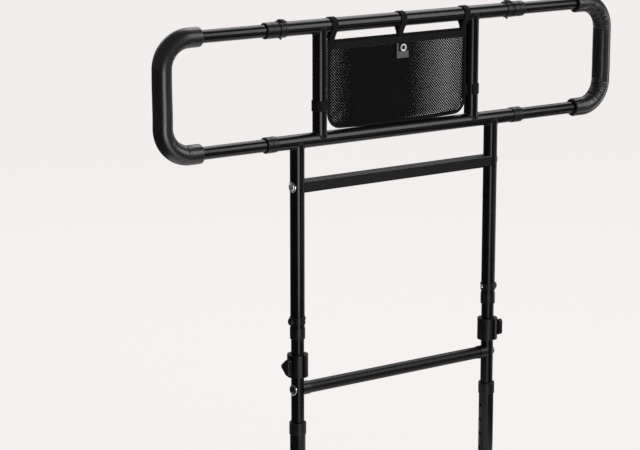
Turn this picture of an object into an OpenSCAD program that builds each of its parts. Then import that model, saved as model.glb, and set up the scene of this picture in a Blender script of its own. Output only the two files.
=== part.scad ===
// Free-standing bed assist rail with two pull-out U grips, a storage pouch and telescopic legs.
// +X runs along the rail, +Y points to the bed, +Z is up, and the origin is on the floor under the middle.
// Everything is drawn at the height and the reach at which the rail is set up.

/* [Rail frame] */
// Distance between the axes of the two rails
rail_spacing = 195; // [180:1:240]
// Half length of each rail tube
rail_half = 280; // [278:1:310]
// Distance of each upright from the middle
upright_x = 168.5; // [160:0.5:180]
// Distance of each leg from the middle
leg_x = 216; // [210:0.5:226]
// Outer diameter of the rails, uprights and upper legs
tube_od = 25.4; // [25:0.1:28]
// Wall of the rails and uprights
rail_wall = 1.2; // [1:0.05:1.4]
// Wall of the upper legs
leg_wall = 0.9; // [0.8:0.05:1.1]

/* [Pull-out grips] */
// Distance of each upright grip's axis from the middle
grip_x = 485.5; // [470:0.5:520]
// Radius of the bends of the U tubes, at the axis
bend_r = 50; // [45:1:60]
// Distance of the inner ends of the U tubes from the middle
ext_inner_x = 175; // [150:1:200]
// Wall of the U tubes
ext_wall = 1.5; // [1.2:0.1:2]
// Outer diameter of the padded grip
grip_od = 34; // [30:0.5:38]
// Length of each straight end of the grip past its bend
grip_tail = 22.5; // [15:0.5:30]
// Length that each U tube can be pushed in
ext_travel = 120; // [90:1:120]

/* [Rail ends] */
// Wall of the end collars on the rails
rail_collar_wall = 1.25; // [1:0.05:2]
// Length of the collars on the upper rail
upper_collar_l = 27; // [20:0.5:30]
// Length of the collars on the lower rail
lower_collar_l = 23; // [12:0.5:24]
// Length of a collar that stands past the tube's end
collar_lip = 4; // [3:0.5:6]

/* [Locks] */
// Width of a lock ring along its tube
ring_w = 14; // [13.6:0.2:16]
// Wall of a lock ring
ring_wall = 1.45; // [1:0.05:2]
// Diameter of the round housing on a lock ring
boss_d = 13; // [12.4:0.1:13.4]
// Height of the housing over the tube
boss_rise = 4.2; // [4:0.1:5.5]
// Diameter of the button's cap
button_d = 8; // [7:0.1:8.4]
// Height of the button's cap over the housing
button_rise = 2; // [1.8:0.1:3]
// Diameter of the foot that holds the button in its housing
button_foot_d = 9.6; // [9.2:0.1:9.8]
// Thickness of the button's foot
button_foot_t = 0.9; // [0.7:0.1:1.1]
// Roof of the housing over the foot
boss_roof = 0.7; // [0.6:0.1:1]
// Diameter of the lock pin
pin_d = 5; // [4.5:0.1:5.4]
// Thickness of the lock pin's spring leaf
leaf_t = 1.4; // [1:0.1:1.5]
// Distance between the holes for the lock pin
pin_pitch = 20; // [18:0.5:24]
// Number of holes for the lock pin in a middle tube
leg_holes = 5; // [2:1:6]
// Diameter of the peg that holds a lock ring
peg_d = 4.5; // [4:0.1:5]
// Height of the peg's head over the ring
peg_rise = 3; // [2:0.1:4]

/* [Legs] */
// Drop from the lower rail to the flat crossbar
crossbar_drop = 78.5; // [60:0.5:90]
// Height of the flat crossbar
crossbar_h = 21; // [16:0.5:26]
// Depth of the flat crossbar
crossbar_t = 23; // [15:0.5:24]
// Wall of the flat crossbar
crossbar_wall = 1.2; // [1:0.1:1.6]
// Length of an upper leg, from the lower rail's axis to the lower face of its end collar
leg_l = 348.5; // [320:0.5:400]
// Length of the leg's end collar
leg_collar_l = 20; // [16:0.5:22]
// Wall of the leg's end collar
leg_collar_wall = 0.75; // [0.6:0.05:1.5]
// Distance between the leg's end collar and its lock ring
leg_lock_gap = 5; // [4:0.5:20]
// Length of a middle tube inside its upper leg
mid_overlap = 199; // [160:1:230]
// Distance from a snap button to the lower end of its middle tube
snap_edge = 35; // [28:1:45]
// Wall of the middle tubes
mid_wall = 1.2; // [1:0.1:1.5]
// Distance between the stop collars and the plugs of the lower cross tube
cross_gap = 12; // [4:0.5:30]
// Outer diameter of the lower cross tube
cross_od = 22; // [20:0.1:24]
// Wall of the lower cross tube
cross_wall = 1.2; // [1:0.1:1.6]

/* [Height stops] */
// Distance between an upper leg's end and the stop collar under it
stop_gap = 28; // [2:0.5:40]
// Height of a stop collar
stop_h = 40; // [38:0.5:48]
// Wall of a stop collar
stop_wall = 7.1; // [5:0.05:8]
// Width of the slit in a stop collar
stop_slit = 3.5; // [2:0.1:5]
// Diameter of the boss for the knob's thread
stop_boss_d = 14; // [13:0.1:18]
// Reach of the boss past the collar
stop_boss_rise = 1.4; // [1:0.1:3]
// Diameter of the knob's stud
stud_d = 6; // [5:0.1:7]
// Wall of the threaded bush round the stud
bush_wall = 1.5; // [1.2:0.1:2]
// Thickness of the knob
knob_t = 8.5; // [6:0.1:10]
// Height of the knob's three-cornered head
knob_h = 30; // [26:0.5:34]
// Depth of the knob's head
knob_w = 22; // [20:0.5:26]
// Radius of the knob's corners
knob_corner = 5; // [4:0.1:6]

/* [Base] */
// Length of a lower leg, from its runner's axis to the top of its collar
lower_leg_l = 264.2; // [240:0.1:340]
// Distance between the plugs of the lower cross tube and the lower legs' collars
socket_clear = 47.5; // [4:0.5:80]
// Wall of the lower legs and runners
socket_wall = 1.5; // [1.2:0.05:2]
// Length of the collar on a lower leg
socket_collar_l = 22; // [18:0.5:26]
// Wall of the collar on a lower leg
socket_collar_wall = 1.15; // [0.8:0.05:2]
// Distance from the collar's top to the first height hole
hole_drop = 43; // [32:0.5:50]
// Distance between the height holes
hole_pitch = 28; // [24:0.5:28]
// Number of height holes
hole_count = 5; // [2:1:6]
// Diameter of the snap buttons on the middle tubes
snap_d = 7; // [6:0.1:8]
// Reach of a runner in front of the legs
runner_front = 70; // [60:1:120]
// Reach of a runner behind the legs, under the bed
runner_back = 420; // [380:1:480]
// Distance between the back feet and the rear cross tube
rear_gap = 6; // [2:0.5:60]
// Height of a runner over the floor
foot_h = 6; // [4:0.5:12]
// Length of a rubber foot
foot_l = 40; // [30:1:50]
// Distance of a rubber foot from its runner's end
foot_inset = 12; // [4:0.5:30]
// Width of a rubber foot
foot_w = 24; // [20:0.5:26]
// Thickness of a runner's end cap
cap_t = 3; // [2:0.5:5]

/* [Fasteners] */
// Diameter of the crossbar bolts
bolt_d = 6; // [5:0.1:7]
// Diameter of the lower cross tube's bolts
cross_bolt_d = 8; // [6:0.1:9]
// Diameter of the bolts' button heads
bolt_head_d = 14; // [12:0.1:16]
// Height of the bolts' button heads
bolt_head_h = 3.8; // [3:0.1:4.5]
// Width of the hexagon in the bolts' heads
bolt_hex = 5; // [4:0.1:6]

/* [Pouch] */
// Clearance between the pouch and the uprights
pouch_gap = 3.8; // [3:0.1:20]
// Depth of the pouch
pouch_t = 18; // [14:0.5:30]
// Thickness of the pouch's cloth
cloth_t = 1.6; // [1.2:0.1:2.4]
// Radius of the pouch's lower corners
pouch_corner = 30; // [20:1:45]
// Clearance between the pouch and the lower rail
pouch_lift = 3.3; // [2:0.1:8]
// Clearance between the pouch and the upper rail
pouch_drop = 12.3; // [6:0.1:40]
// Width of the hanging loops
loop_w = 12.5; // [10:0.5:18]
// Distance of the outer hanging loops from the pouch's sides
loop_inset = 9; // [7:0.5:30]
// Height of the side straps
strap_h = 18.5; // [14:0.5:24]
// Height of the side straps over the lower rail's axis
strap_z = 58; // [50:0.5:90]
// Thickness of the webbing
web_t = 1.6; // [1.2:0.1:2]
// Length of webbing sewn to the pouch
sewn_l = 14; // [10:0.5:20]
// Width of the tag
tag_w = 26; // [20:0.5:32]
// Height of the tag
tag_h = 28; // [20:0.5:32]
// Thickness of the tag
tag_t = 1; // [0.8:0.1:1.4]
// Distance from the pouch's top to the tag
tag_drop = 16.5; // [14:0.5:24]
// Diameter of the press stud on the tag
stud_ring_d = 14; // [10:0.5:16]

/* [Clearances] */
// Clearance round a tube that slides
run_gap = 0.3; // [0.25:0.05:0.4]
// Clearance round a U tube in its rail
ext_gap = 0.5; // [0.45:0.05:0.7]
// Clearance round a middle tube in its lower leg
socket_gap = 0.8; // [0.7:0.05:1]
// Clearance round a piece that is pushed on and stays
slip = 0.05; // [0.03:0.01:0.1]

/* [Hidden] */
$fn = 48;
eps = 0.5;

frame_black = "#1b1b1d";
plastic_black = "#141415";
leather_black = "#202022";
steel = "#c9cacc";
brass = "#b08d4c";
cloth_black = "#2a2a2c";
rubber_black = "#111111";
tag_grey = "#8d8f92";

// Diameters of tubes that fit in one another
rail_bore = tube_od - 2 * rail_wall;
ext_od = rail_bore - 2 * ext_gap;
ext_bore = ext_od - 2 * ext_wall;
leg_bore = tube_od - 2 * leg_wall;
mid_od = leg_bore - 2 * run_gap;
mid_bore = mid_od - 2 * mid_wall;
socket_bore = mid_od + 2 * socket_gap;
socket_od = socket_bore + 2 * socket_wall;

// Diameters of sleeves round those tubes
rail_collar_od = tube_od + 2 * (slip + rail_collar_wall);
ring_od = tube_od + 2 * (slip + ring_wall);
leg_collar_od = tube_od + 2 * (slip + leg_collar_wall);
stop_od = mid_od + 2 * (slip + stop_wall);
socket_collar_od = socket_od + 2 * (slip + socket_collar_wall);
plug_od = cross_od + 2;

// Heights over the floor, from the runners up, and the rails' place over the runners
runner_z = foot_h + socket_od / 2;
socket_z = runner_z + lower_leg_l;
hole_z = socket_z - hole_drop;
cross_z = socket_z + socket_clear + plug_od / 2;
stop_z = cross_z + plug_od / 2 + cross_gap + stop_h / 2;
leg_end_z = stop_z + stop_h / 2 + stop_gap;
leg_lock_z = leg_end_z + leg_collar_l + leg_lock_gap + ring_w / 2;
mid_top_z = leg_end_z + mid_overlap;
lower_rail_z = leg_end_z + leg_l;
upper_rail_z = lower_rail_z + rail_spacing;
crossbar_z = lower_rail_z - crossbar_drop;
rail_y = (runner_front - runner_back) / 2;
rear_y = rail_y + runner_back - foot_inset - foot_l - rear_gap - cross_od / 2;

// Lock rings sit against the collars of the upper rail
rail_end_x = rail_half + collar_lip;
rail_lock_x = rail_end_x - upper_collar_l - ring_w / 2;

// Hole rows: both heights are set at their lowest hole, and the U tubes at their outermost
ext_holes = floor(ext_travel / pin_pitch) + 1;
snap_z = hole_z - (hole_count - 1) * hole_pitch;
mid_bottom_z = snap_z - snap_edge;
hole_play = 0.6;
pin_hole_d = pin_d + hole_play;
snap_hole_d = snap_d + hole_play;

// Button and lock pin, as heights over the axis of the locked tube
boss_r = tube_od / 2 + boss_rise;
foot_top = boss_r - boss_roof - run_gap;
foot_base = foot_top - button_foot_t;
pocket_d = button_foot_d + 2 * run_gap;
leaf_top = foot_base - run_gap;
leaf_w = 8;
pin_bite = 1.5;

// Stop collar, knob and stud, as distances from the axis of the middle tube
knob_seat = stop_od / 2 + stop_boss_rise + run_gap;
knob_end = knob_seat + knob_t;
bush_od = stud_d + 2 * bush_wall;

// The crossbar is coped to the legs, and the cross tube ends where its coped plugs begin
plug_l = 22;
crossbar_half = leg_x - tube_od / 2;
cross_face = 10.5;
cross_half = leg_x - mid_od / 2 - cross_face;

// Pouch: its back hangs in the plane of the rails
pouch_w = 2 * (upright_x - tube_od / 2 - pouch_gap);
pouch_h = rail_spacing - tube_od - pouch_lift - pouch_drop;
loop_x = pouch_w / 2 - loop_inset;
pouch_back = cloth_t / 2;
pouch_bottom_z = lower_rail_z + tube_od / 2 + pouch_lift;
pouch_top_z = pouch_bottom_z + pouch_h;
pouch_front = pouch_back - pouch_t;
tag_top_z = pouch_top_z - tag_drop;
loop_bore = tube_od + 2 * run_gap;
strap_bore = tube_od + 2 * run_gap;

// Turns a shape from +Z to +X, or to +Y
module along_x() { rotate([0, 90, 0]) children(); }
module along_y() { rotate([-90, 0, 0]) children(); }

// Draws a right-hand shape on the right, or its mirror image on the left
module on_side(left) { mirror([left ? 1 : 0, 0, 0]) children(); }
module on_both_sides() {
    for (left = [true, false])
        on_side(left) children();
}

module tube(od, bore, l) {
    difference() {
        cylinder(d = od, h = l, center = true);
        cylinder(d = bore, h = l + 2 * eps, center = true);
    }
}

// A sleeve from z = 0 up, with a wide bore and, at its lower end, a lip with a narrow bore
module lipped_sleeve(od, wide, narrow, l, lip) {
    difference() {
        cylinder(d = od, h = l);
        translate([0, 0, lip]) cylinder(d = wide, h = l);
        translate([0, 0, -eps]) cylinder(d = narrow, h = l);
    }
}

// Frame of the rails
module rail_space(z) { translate([0, rail_y, z]) children(); }
module leg_space(z) { translate([leg_x, rail_y, z]) children(); }

// The room that a welded tube leaves for the rails
module rail_room() {
    for (z = [lower_rail_z, upper_rail_z])
        rail_space(z) along_x() cylinder(d = tube_od + 2 * slip, h = 2 * rail_half, center = true);
}

module rail_tube(locked) {
    difference() {
        along_x() tube(tube_od, rail_bore, 2 * rail_half);
        if (locked) {
            on_both_sides() translate([rail_lock_x, 0, 0]) {
                cylinder(d = pin_hole_d, h = tube_od);
                mirror([0, 0, 1]) cylinder(d = peg_d + 2 * slip, h = tube_od);
            }
        }
    }
}

module upper_rail_tube() {
    color(frame_black) rail_space(upper_rail_z) rail_tube(true);
}

module lower_rail_tube() {
    color(frame_black) rail_space(lower_rail_z) rail_tube(false);
}

module upright(left) {
    color(frame_black) on_side(left) difference() {
        translate([upright_x, rail_y, (lower_rail_z + upper_rail_z) / 2])
            tube(tube_od, rail_bore, rail_spacing);
        rail_room();
    }
}

module upper_leg(left) {
    bottom_z = leg_end_z + collar_lip;
    color(frame_black) on_side(left) difference() {
        leg_space((lower_rail_z + bottom_z) / 2) tube(tube_od, leg_bore, lower_rail_z - bottom_z);
        rail_room();
        leg_space(crossbar_z) along_x() cylinder(d = bolt_d + 2 * slip, h = 2 * tube_od, center = true);
        leg_space(leg_lock_z) along_x() {
            cylinder(d = pin_hole_d, h = tube_od);
            mirror([0, 0, 1]) cylinder(d = peg_d + 2 * slip, h = tube_od);
        }
    }
}

module flat_crossbar() {
    inner_h = crossbar_h - 2 * crossbar_wall;
    inner_t = crossbar_t - 2 * crossbar_wall;
    color(frame_black) rail_space(crossbar_z) difference() {
        cube([2 * leg_x, crossbar_t, crossbar_h], center = true);
        cube([2 * leg_x + 2 * eps, inner_t, inner_h], center = true);
        for (x = [-leg_x, leg_x])
            translate([x, 0, 0]) cylinder(d = tube_od + 2 * slip, h = 2 * crossbar_h, center = true);
    }
}

// A plug in each end of the crossbar, with a face shaped to the leg
module crossbar_end_plugs() {
    core_h = crossbar_h - 2 * crossbar_wall - 2 * slip;
    core_t = crossbar_t - 2 * crossbar_wall - 2 * slip;
    color(steel) on_both_sides() difference() {
        rail_space(crossbar_z) translate([crossbar_half - plug_l, -core_t / 2, -core_h / 2])
            cube([plug_l + tube_od / 2, core_t, core_h]);
        leg_space(crossbar_z) cylinder(d = tube_od + 2 * slip, h = 2 * crossbar_h, center = true);
        rail_space(crossbar_z) along_x() cylinder(d = bolt_d + 2 * slip, h = 2 * leg_x);
    }
}

// A button-head bolt along +X, with its head's seat at x = 0 and the shank behind it
module button_bolt(d, l) {
    dome_r = (bolt_head_d * bolt_head_d / 4 + bolt_head_h * bolt_head_h) / (2 * bolt_head_h);
    along_x() difference() {
        union() {
            intersection() {
                cylinder(d = bolt_head_d, h = bolt_head_h);
                translate([0, 0, bolt_head_h - dome_r]) sphere(r = dome_r);
            }
            translate([0, 0, -l]) cylinder(d = d, h = l + eps);
        }
        translate([0, 0, bolt_head_h / 3]) cylinder(d = bolt_hex / cos(30), h = bolt_head_h, $fn = 6);
    }
}

module crossbar_bolts() {
    seat = tube_od / 2 + slip;
    color(steel) on_both_sides() leg_space(crossbar_z)
        translate([seat, 0, 0]) button_bolt(bolt_d, seat + leg_x - crossbar_half + plug_l / 2);
}

module rail_collar(l) {
    translate([rail_end_x, 0, 0]) rotate([0, -90, 0])
        lipped_sleeve(rail_collar_od, tube_od + 2 * slip, ext_od + 2 * run_gap, l, collar_lip);
}

module upper_rail_collars() {
    color(plastic_black) rail_space(upper_rail_z) on_both_sides() rail_collar(upper_collar_l);
}

module lower_rail_collars() {
    color(plastic_black) rail_space(lower_rail_z) on_both_sides() rail_collar(lower_collar_l);
}

// A lock ring round a tube along +X, with its button's housing on +Z and its peg's hole on -Z
module lock_ring() {
    difference() {
        union() {
            along_x() cylinder(d = ring_od, h = ring_w, center = true);
            cylinder(d = boss_d, h = boss_r);
        }
        along_x() cylinder(d = tube_od + 2 * slip, h = 2 * ring_w, center = true);
        cylinder(d = pocket_d, h = boss_r - boss_roof);
        cylinder(d = button_d + 2 * run_gap, h = 2 * boss_r);
        mirror([0, 0, 1]) cylinder(d = peg_d + 2 * slip, h = ring_od);
    }
}

// The press button: a foot under the housing's roof and a domed cap
module lock_button() {
    cap_top = boss_r + button_rise;
    dome_r = button_d * 0.8;
    translate([0, 0, foot_base]) cylinder(d = button_foot_d, h = button_foot_t);
    intersection() {
        translate([0, 0, foot_base]) cylinder(d = button_d, h = cap_top - foot_base);
        translate([0, 0, cap_top - dome_r]) sphere(r = dome_r);
    }
}

// The lock pin hangs on a small spring leaf under the button and bites the inner tube
module lock_pin(inner_od) {
    tip = inner_od / 2 - pin_bite;
    translate([0, 0, tip]) cylinder(d = pin_d, h = leaf_top - tip);
    translate([-leaf_w / 2, -pin_d / 2, leaf_top - leaf_t]) cube([leaf_w, pin_d, leaf_t]);
}

// The peg that pins a lock ring to its tube, with a round head
module ring_peg(bore) {
    seat = bore / 2 + run_gap;
    head = ring_od / 2 + peg_rise;
    mirror([0, 0, 1]) {
        translate([0, 0, seat]) cylinder(d = peg_d, h = head - peg_d / 2 - seat);
        translate([0, 0, head - peg_d / 2]) sphere(d = peg_d);
    }
}

// Places of the locks: on top of the upper rail, and on the outer side of each leg
module at_rail_lock() { translate([rail_lock_x, rail_y, upper_rail_z]) children(); }
module at_leg_lock() { leg_space(leg_lock_z) along_x() children(); }

module rail_lock_ring(left) { color(plastic_black) on_side(left) at_rail_lock() lock_ring(); }
module leg_lock_ring(left) { color(plastic_black) on_side(left) at_leg_lock() lock_ring(); }
module rail_lock_button(left) { color(plastic_black) on_side(left) at_rail_lock() lock_button(); }
module leg_lock_button(left) { color(plastic_black) on_side(left) at_leg_lock() lock_button(); }
module rail_lock_pins() { color(steel) on_both_sides() at_rail_lock() lock_pin(ext_od); }
module leg_lock_pins() { color(steel) on_both_sides() at_leg_lock() lock_pin(mid_od); }
module rail_ring_pegs() { color(plastic_black) on_both_sides() at_rail_lock() ring_peg(rail_bore); }
module leg_ring_screws() { color(steel) on_both_sides() at_leg_lock() ring_peg(leg_bore); }

module leg_end_collars() {
    wide = tube_od + 2 * slip;
    narrow = mid_od + 2 * run_gap;
    color(plastic_black) on_both_sides() leg_space(leg_end_z)
        lipped_sleeve(leg_collar_od, wide, narrow, leg_collar_l, collar_lip);
}

// A sleeve along the U, from inner_x out, round two bends and back
module u_sleeve(od, bore, inner_x) {
    bend_x = grip_x - bend_r;
    for (top = [false, true]) {
        translate([(inner_x + bend_x) / 2, rail_y, top ? upper_rail_z : lower_rail_z])
            along_x() tube(od, bore, bend_x - inner_x);
        translate([bend_x, rail_y, top ? upper_rail_z - bend_r : lower_rail_z + bend_r])
            rotate([90, 0, 0]) rotate([0, 0, top ? 0 : -90])
                rotate_extrude(angle = 90) translate([bend_r, 0]) difference() {
                    circle(d = od);
                    circle(d = bore);
                }
    }
    translate([grip_x, rail_y, (lower_rail_z + upper_rail_z) / 2])
        tube(od, bore, rail_spacing - 2 * bend_r);
}

module extension_tube(left) {
    color(frame_black) on_side(left) difference() {
        u_sleeve(ext_od, ext_bore, ext_inner_x);
        for (i = [0 : ext_holes - 1])
            translate([i * pin_pitch, 0, 0]) at_rail_lock() cylinder(d = pin_hole_d, h = ext_od);
    }
}

module grip(left) {
    tail_x = grip_x - bend_r - grip_tail;
    color(leather_black) on_side(left) u_sleeve(grip_od, ext_od + 2 * slip, tail_x);
}

// A glide on each inner end of a U tube: a plug in the tube and a collar that runs in the rail
module tube_glides(left) {
    glide_l = 12;
    stem_l = 18;
    color(plastic_black) on_side(left) for (z = [lower_rail_z, upper_rail_z])
        translate([ext_inner_x, rail_y, z]) along_x() {
            translate([0, 0, -glide_l]) cylinder(d = rail_bore - 2 * run_gap, h = glide_l - slip);
            translate([0, 0, -glide_l / 2]) cylinder(d = ext_bore - 2 * slip, h = glide_l / 2 + stem_l);
        }
}

module mid_tube(left) {
    color(frame_black) on_side(left) difference() {
        leg_space((mid_top_z + mid_bottom_z) / 2) tube(mid_od, mid_bore, mid_top_z - mid_bottom_z);
        for (i = [0 : leg_holes - 1])
            leg_space(leg_lock_z + i * pin_pitch) along_x() cylinder(d = pin_hole_d, h = mid_od);
        leg_space(cross_z) along_x() cylinder(d = cross_bolt_d + 2 * slip, h = 2 * mid_od, center = true);
        leg_space(snap_z) along_x() cylinder(d = snap_hole_d, h = mid_od);
    }
}

module lower_cross_tube() {
    color(frame_black) rail_space(cross_z) along_x()
        tube(cross_od, cross_od - 2 * cross_wall, 2 * cross_half);
}

// A round plug in each end of the lower cross tube, with a face shaped to the middle tube
module cross_tube_plugs() {
    color(plastic_black) on_both_sides() difference() {
        rail_space(cross_z) along_x() {
            translate([0, 0, cross_half - plug_l])
                cylinder(d = cross_od - 2 * cross_wall - 2 * slip, h = plug_l + eps);
            translate([0, 0, cross_half]) cylinder(d = plug_od, h = cross_face + mid_od / 4);
        }
        leg_space(cross_z) cylinder(d = mid_od + 2 * slip, h = 2 * cross_od, center = true);
        rail_space(cross_z) along_x() cylinder(d = cross_bolt_d + 2 * slip, h = 2 * leg_x);
    }
}

module cross_tube_bolts() {
    seat = mid_od / 2 + slip;
    color(plastic_black) on_both_sides() leg_space(cross_z)
        translate([seat, 0, 0]) button_bolt(cross_bolt_d, seat + leg_x - cross_half + plug_l / 2);
}

// A glide on the lower end of each middle tube
module mid_tube_glides() {
    glide_l = 10;
    stem_l = 16;
    color(plastic_black) on_both_sides() leg_space(mid_bottom_z) {
        translate([0, 0, -glide_l]) cylinder(d = socket_bore - 2 * run_gap, h = glide_l - slip);
        translate([0, 0, -glide_l / 2]) cylinder(d = mid_bore - 2 * slip, h = glide_l / 2 + stem_l);
    }
}

// A spring strip inside each middle tube, bent to a hairpin, with the snap button on its outer arm
module snap_clips() {
    strip_t = 1;
    strip_w = 8;
    strip_l = 44;
    arm_x = mid_bore / 2 - 1.6;
    tip_x = socket_od / 2 + 1.6;
    color(steel) on_both_sides() leg_space(snap_z) {
        along_x() translate([0, 0, arm_x - strip_t / 2]) cylinder(d = snap_d, h = tip_x - arm_x);
        for (x = [-arm_x, arm_x - strip_t])
            translate([x, -strip_w / 2, -strip_w]) cube([strip_t, strip_w, strip_l + strip_w]);
        translate([0, strip_w / 2, strip_l]) rotate([90, 0, 0]) difference() {
            cylinder(r = arm_x, h = strip_w);
            translate([0, 0, -eps]) cylinder(r = arm_x - strip_t, h = strip_w + 2 * eps);
            translate([-arm_x, -2 * arm_x, -eps]) cube([2 * arm_x, 2 * arm_x, strip_w + 2 * eps]);
        }
    }
}

module stop_collar(left) {
    color(plastic_black) on_side(left) leg_space(stop_z) difference() {
        union() {
            cylinder(d = stop_od, h = stop_h, center = true);
            along_x() cylinder(d = stop_boss_d, h = stop_od / 2 + stop_boss_rise);
        }
        cylinder(d = mid_od + 2 * slip, h = stop_h + 2 * eps, center = true);
        along_x() cylinder(d = bush_od + 2 * slip, h = stop_od);
        translate([-stop_slit / 2, -stop_od, -stop_h]) cube([stop_slit, stop_od, 2 * stop_h]);
    }
}

// The threaded bush in each stop collar
module stop_collar_bushes() {
    bush_start = mid_od / 2 + run_gap;
    bush_l = stop_od / 2 + stop_boss_rise - bush_start;
    color(brass) on_both_sides() leg_space(stop_z) along_x() translate([0, 0, bush_start]) difference() {
        cylinder(d = bush_od, h = bush_l);
        translate([0, 0, -eps]) cylinder(d = stud_d + 2 * slip, h = bush_l + 2 * eps);
    }
}

// The knob: a three-cornered head that points to the bed, on a stud that presses on the middle tube
module stop_knob(left) {
    stud_tip = mid_od / 2 + run_gap;
    corner_y = knob_w / 2 - knob_corner;
    corner_z = knob_h / 2 - knob_corner;
    corners = [[corner_y, 0], [-corner_y, corner_z], [-corner_y, -corner_z]];
    color(plastic_black) on_side(left) leg_space(stop_z) {
        hull() for (c = corners)
            translate([knob_seat, c[0], c[1]]) along_x() cylinder(r = knob_corner, h = knob_t, $fn = 32);
        along_x() translate([0, 0, stud_tip]) cylinder(d = stud_d, h = knob_seat - stud_tip + knob_t / 2);
    }
}

module lower_leg(left) {
    top_z = socket_z - collar_lip;
    color(frame_black) on_side(left) difference() {
        leg_space((runner_z + top_z) / 2) tube(socket_od, socket_bore, top_z - runner_z);
        leg_space(runner_z) along_y() cylinder(d = socket_od + 2 * slip, h = 4 * socket_od, center = true);
        for (i = [0 : hole_count - 1])
            leg_space(hole_z - i * hole_pitch) along_x()
                cylinder(d = snap_hole_d, h = 2 * socket_od, center = true);
    }
}

module socket_collar(left) {
    wide = socket_od + 2 * slip;
    narrow = mid_od + 2 * run_gap;
    color(plastic_black) on_side(left) leg_space(socket_z) mirror([0, 0, 1])
        lipped_sleeve(socket_collar_od, wide, narrow, socket_collar_l, collar_lip);
}

module runner(left) {
    color(frame_black) on_side(left) leg_space(runner_z) along_y()
        translate([0, 0, (runner_back - runner_front) / 2])
            tube(socket_od, socket_bore, runner_back + runner_front - 2 * cap_t);
}

module rear_cross_tube() {
    color(frame_black) difference() {
        translate([0, rear_y, runner_z]) along_x()
            tube(cross_od, cross_od - 2 * cross_wall, 2 * leg_x);
        on_both_sides() leg_space(runner_z) along_y()
            cylinder(d = socket_od + 2 * slip, h = 2 * runner_back, center = true);
    }
}

module runner_end_caps() {
    stem_l = 15;
    half = (runner_back + runner_front) / 2;
    color(plastic_black) on_both_sides() for (back = [0, 1])
        translate([leg_x, 0, runner_z]) mirror([0, back, 0]) translate([0, -half, 0]) along_y() {
            cylinder(d = socket_od, h = cap_t - slip);
            cylinder(d = socket_bore - 2 * slip, h = cap_t + stem_l);
        }
}

// Rubber feet under both ends of the runners, hollowed to the tube
module rubber_feet() {
    half = (runner_back + runner_front) / 2;
    saddle_h = foot_h + socket_od / 4;
    color(rubber_black) on_both_sides() difference() {
        for (back = [0, 1])
            mirror([0, back, 0]) translate([leg_x - foot_w / 2, foot_inset - half, 0])
                cube([foot_w, foot_l, saddle_h]);
        leg_space(runner_z) along_y() cylinder(d = socket_od + 2 * slip, h = 4 * half, center = true);
    }
}

// Outline of the pouch, seen from the front, with round lower corners
module pouch_outline(inset) {
    half = pouch_w / 2 - inset;
    r = pouch_corner - inset;
    translate([-half, pouch_corner]) square([2 * half, pouch_h + inset - pouch_corner]);
    translate([-half + r, inset]) square([2 * half - 2 * r, pouch_corner]);
    for (s = [-1, 1])
        translate([s * (half - r), pouch_corner]) circle(r = r);
}

module pouch() {
    color(cloth_black) translate([0, rail_y + pouch_back, pouch_bottom_z]) rotate([90, 0, 0]) difference() {
        linear_extrude(pouch_t) pouch_outline(0);
        translate([0, 0, cloth_t]) linear_extrude(pouch_t - 2 * cloth_t) pouch_outline(cloth_t);
    }
}

// Loops over the upper rail, sewn to the back of the pouch
module pouch_hanging_loops() {
    tail_top = upper_rail_z - loop_bore / 2 - web_t / 2;
    tail_bottom = pouch_top_z - sewn_l;
    color(cloth_black) for (x = [-loop_x, 0, loop_x])
        translate([x, rail_y, 0]) {
            translate([0, 0, upper_rail_z]) along_x() tube(loop_bore + 2 * web_t, loop_bore, loop_w);
            translate([-loop_w / 2, pouch_back + slip, tail_bottom])
                cube([loop_w, web_t, tail_top - tail_bottom]);
        }
}

// Straps round the uprights, sewn to the back of the pouch
module pouch_side_straps() {
    tail_x = pouch_w / 2 - sewn_l;
    ring_x = upright_x - strap_bore / 2 - web_t / 2;
    color(cloth_black) on_both_sides() translate([0, rail_y, lower_rail_z + strap_z]) {
        translate([upright_x, 0, 0]) tube(strap_bore + 2 * web_t, strap_bore, strap_h);
        translate([tail_x, pouch_back + slip, -strap_h / 2]) cube([ring_x - tail_x, web_t, strap_h]);
    }
}

module pouch_tag() {
    front_y = rail_y + pouch_front - slip - tag_t;
    color(tag_grey) translate([-tag_w / 2, front_y, tag_top_z - tag_h]) cube([tag_w, tag_t, tag_h]);
}

// The press stud in the tag's upper corner
module tag_press_stud() {
    stud_t = 1.6;
    dimple_d = stud_ring_d / 2;
    edge = stud_ring_d / 2 + 1;
    seat_y = rail_y + pouch_front - tag_t - 2 * slip;
    color(steel) translate([tag_w / 2 - edge, seat_y, tag_top_z - edge]) rotate([90, 0, 0]) difference() {
        cylinder(d = stud_ring_d, h = stud_t);
        translate([0, 0, stud_t / 2]) cylinder(d = dimple_d, h = stud_t);
    }
}

upper_rail_tube();
lower_rail_tube();
upright(true);  // left_upright
upright(false);  // right_upright
upper_leg(true);  // left_upper_leg
upper_leg(false);  // right_upper_leg
flat_crossbar();
crossbar_end_plugs();
crossbar_bolts();
upper_rail_collars();
lower_rail_collars();
rail_lock_ring(true);  // left_rail_lock_ring
rail_lock_ring(false);  // right_rail_lock_ring
rail_lock_pins();
rail_ring_pegs();
rail_lock_button(true);  // left_rail_lock_button
rail_lock_button(false);  // right_rail_lock_button
leg_lock_ring(true);  // left_leg_lock_ring
leg_lock_ring(false);  // right_leg_lock_ring
leg_lock_pins();
leg_ring_screws();
leg_lock_button(true);  // left_leg_lock_button
leg_lock_button(false);  // right_leg_lock_button
leg_end_collars();
extension_tube(true);  // left_extension_tube
grip(true);  // left_grip
tube_glides(true);  // left_tube_glides
extension_tube(false);  // right_extension_tube
grip(false);  // right_grip
tube_glides(false);  // right_tube_glides
mid_tube(true);  // left_mid_tube
mid_tube(false);  // right_mid_tube
lower_cross_tube();
cross_tube_plugs();
cross_tube_bolts();
mid_tube_glides();
snap_clips();
stop_collar(true);  // left_stop_collar
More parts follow.
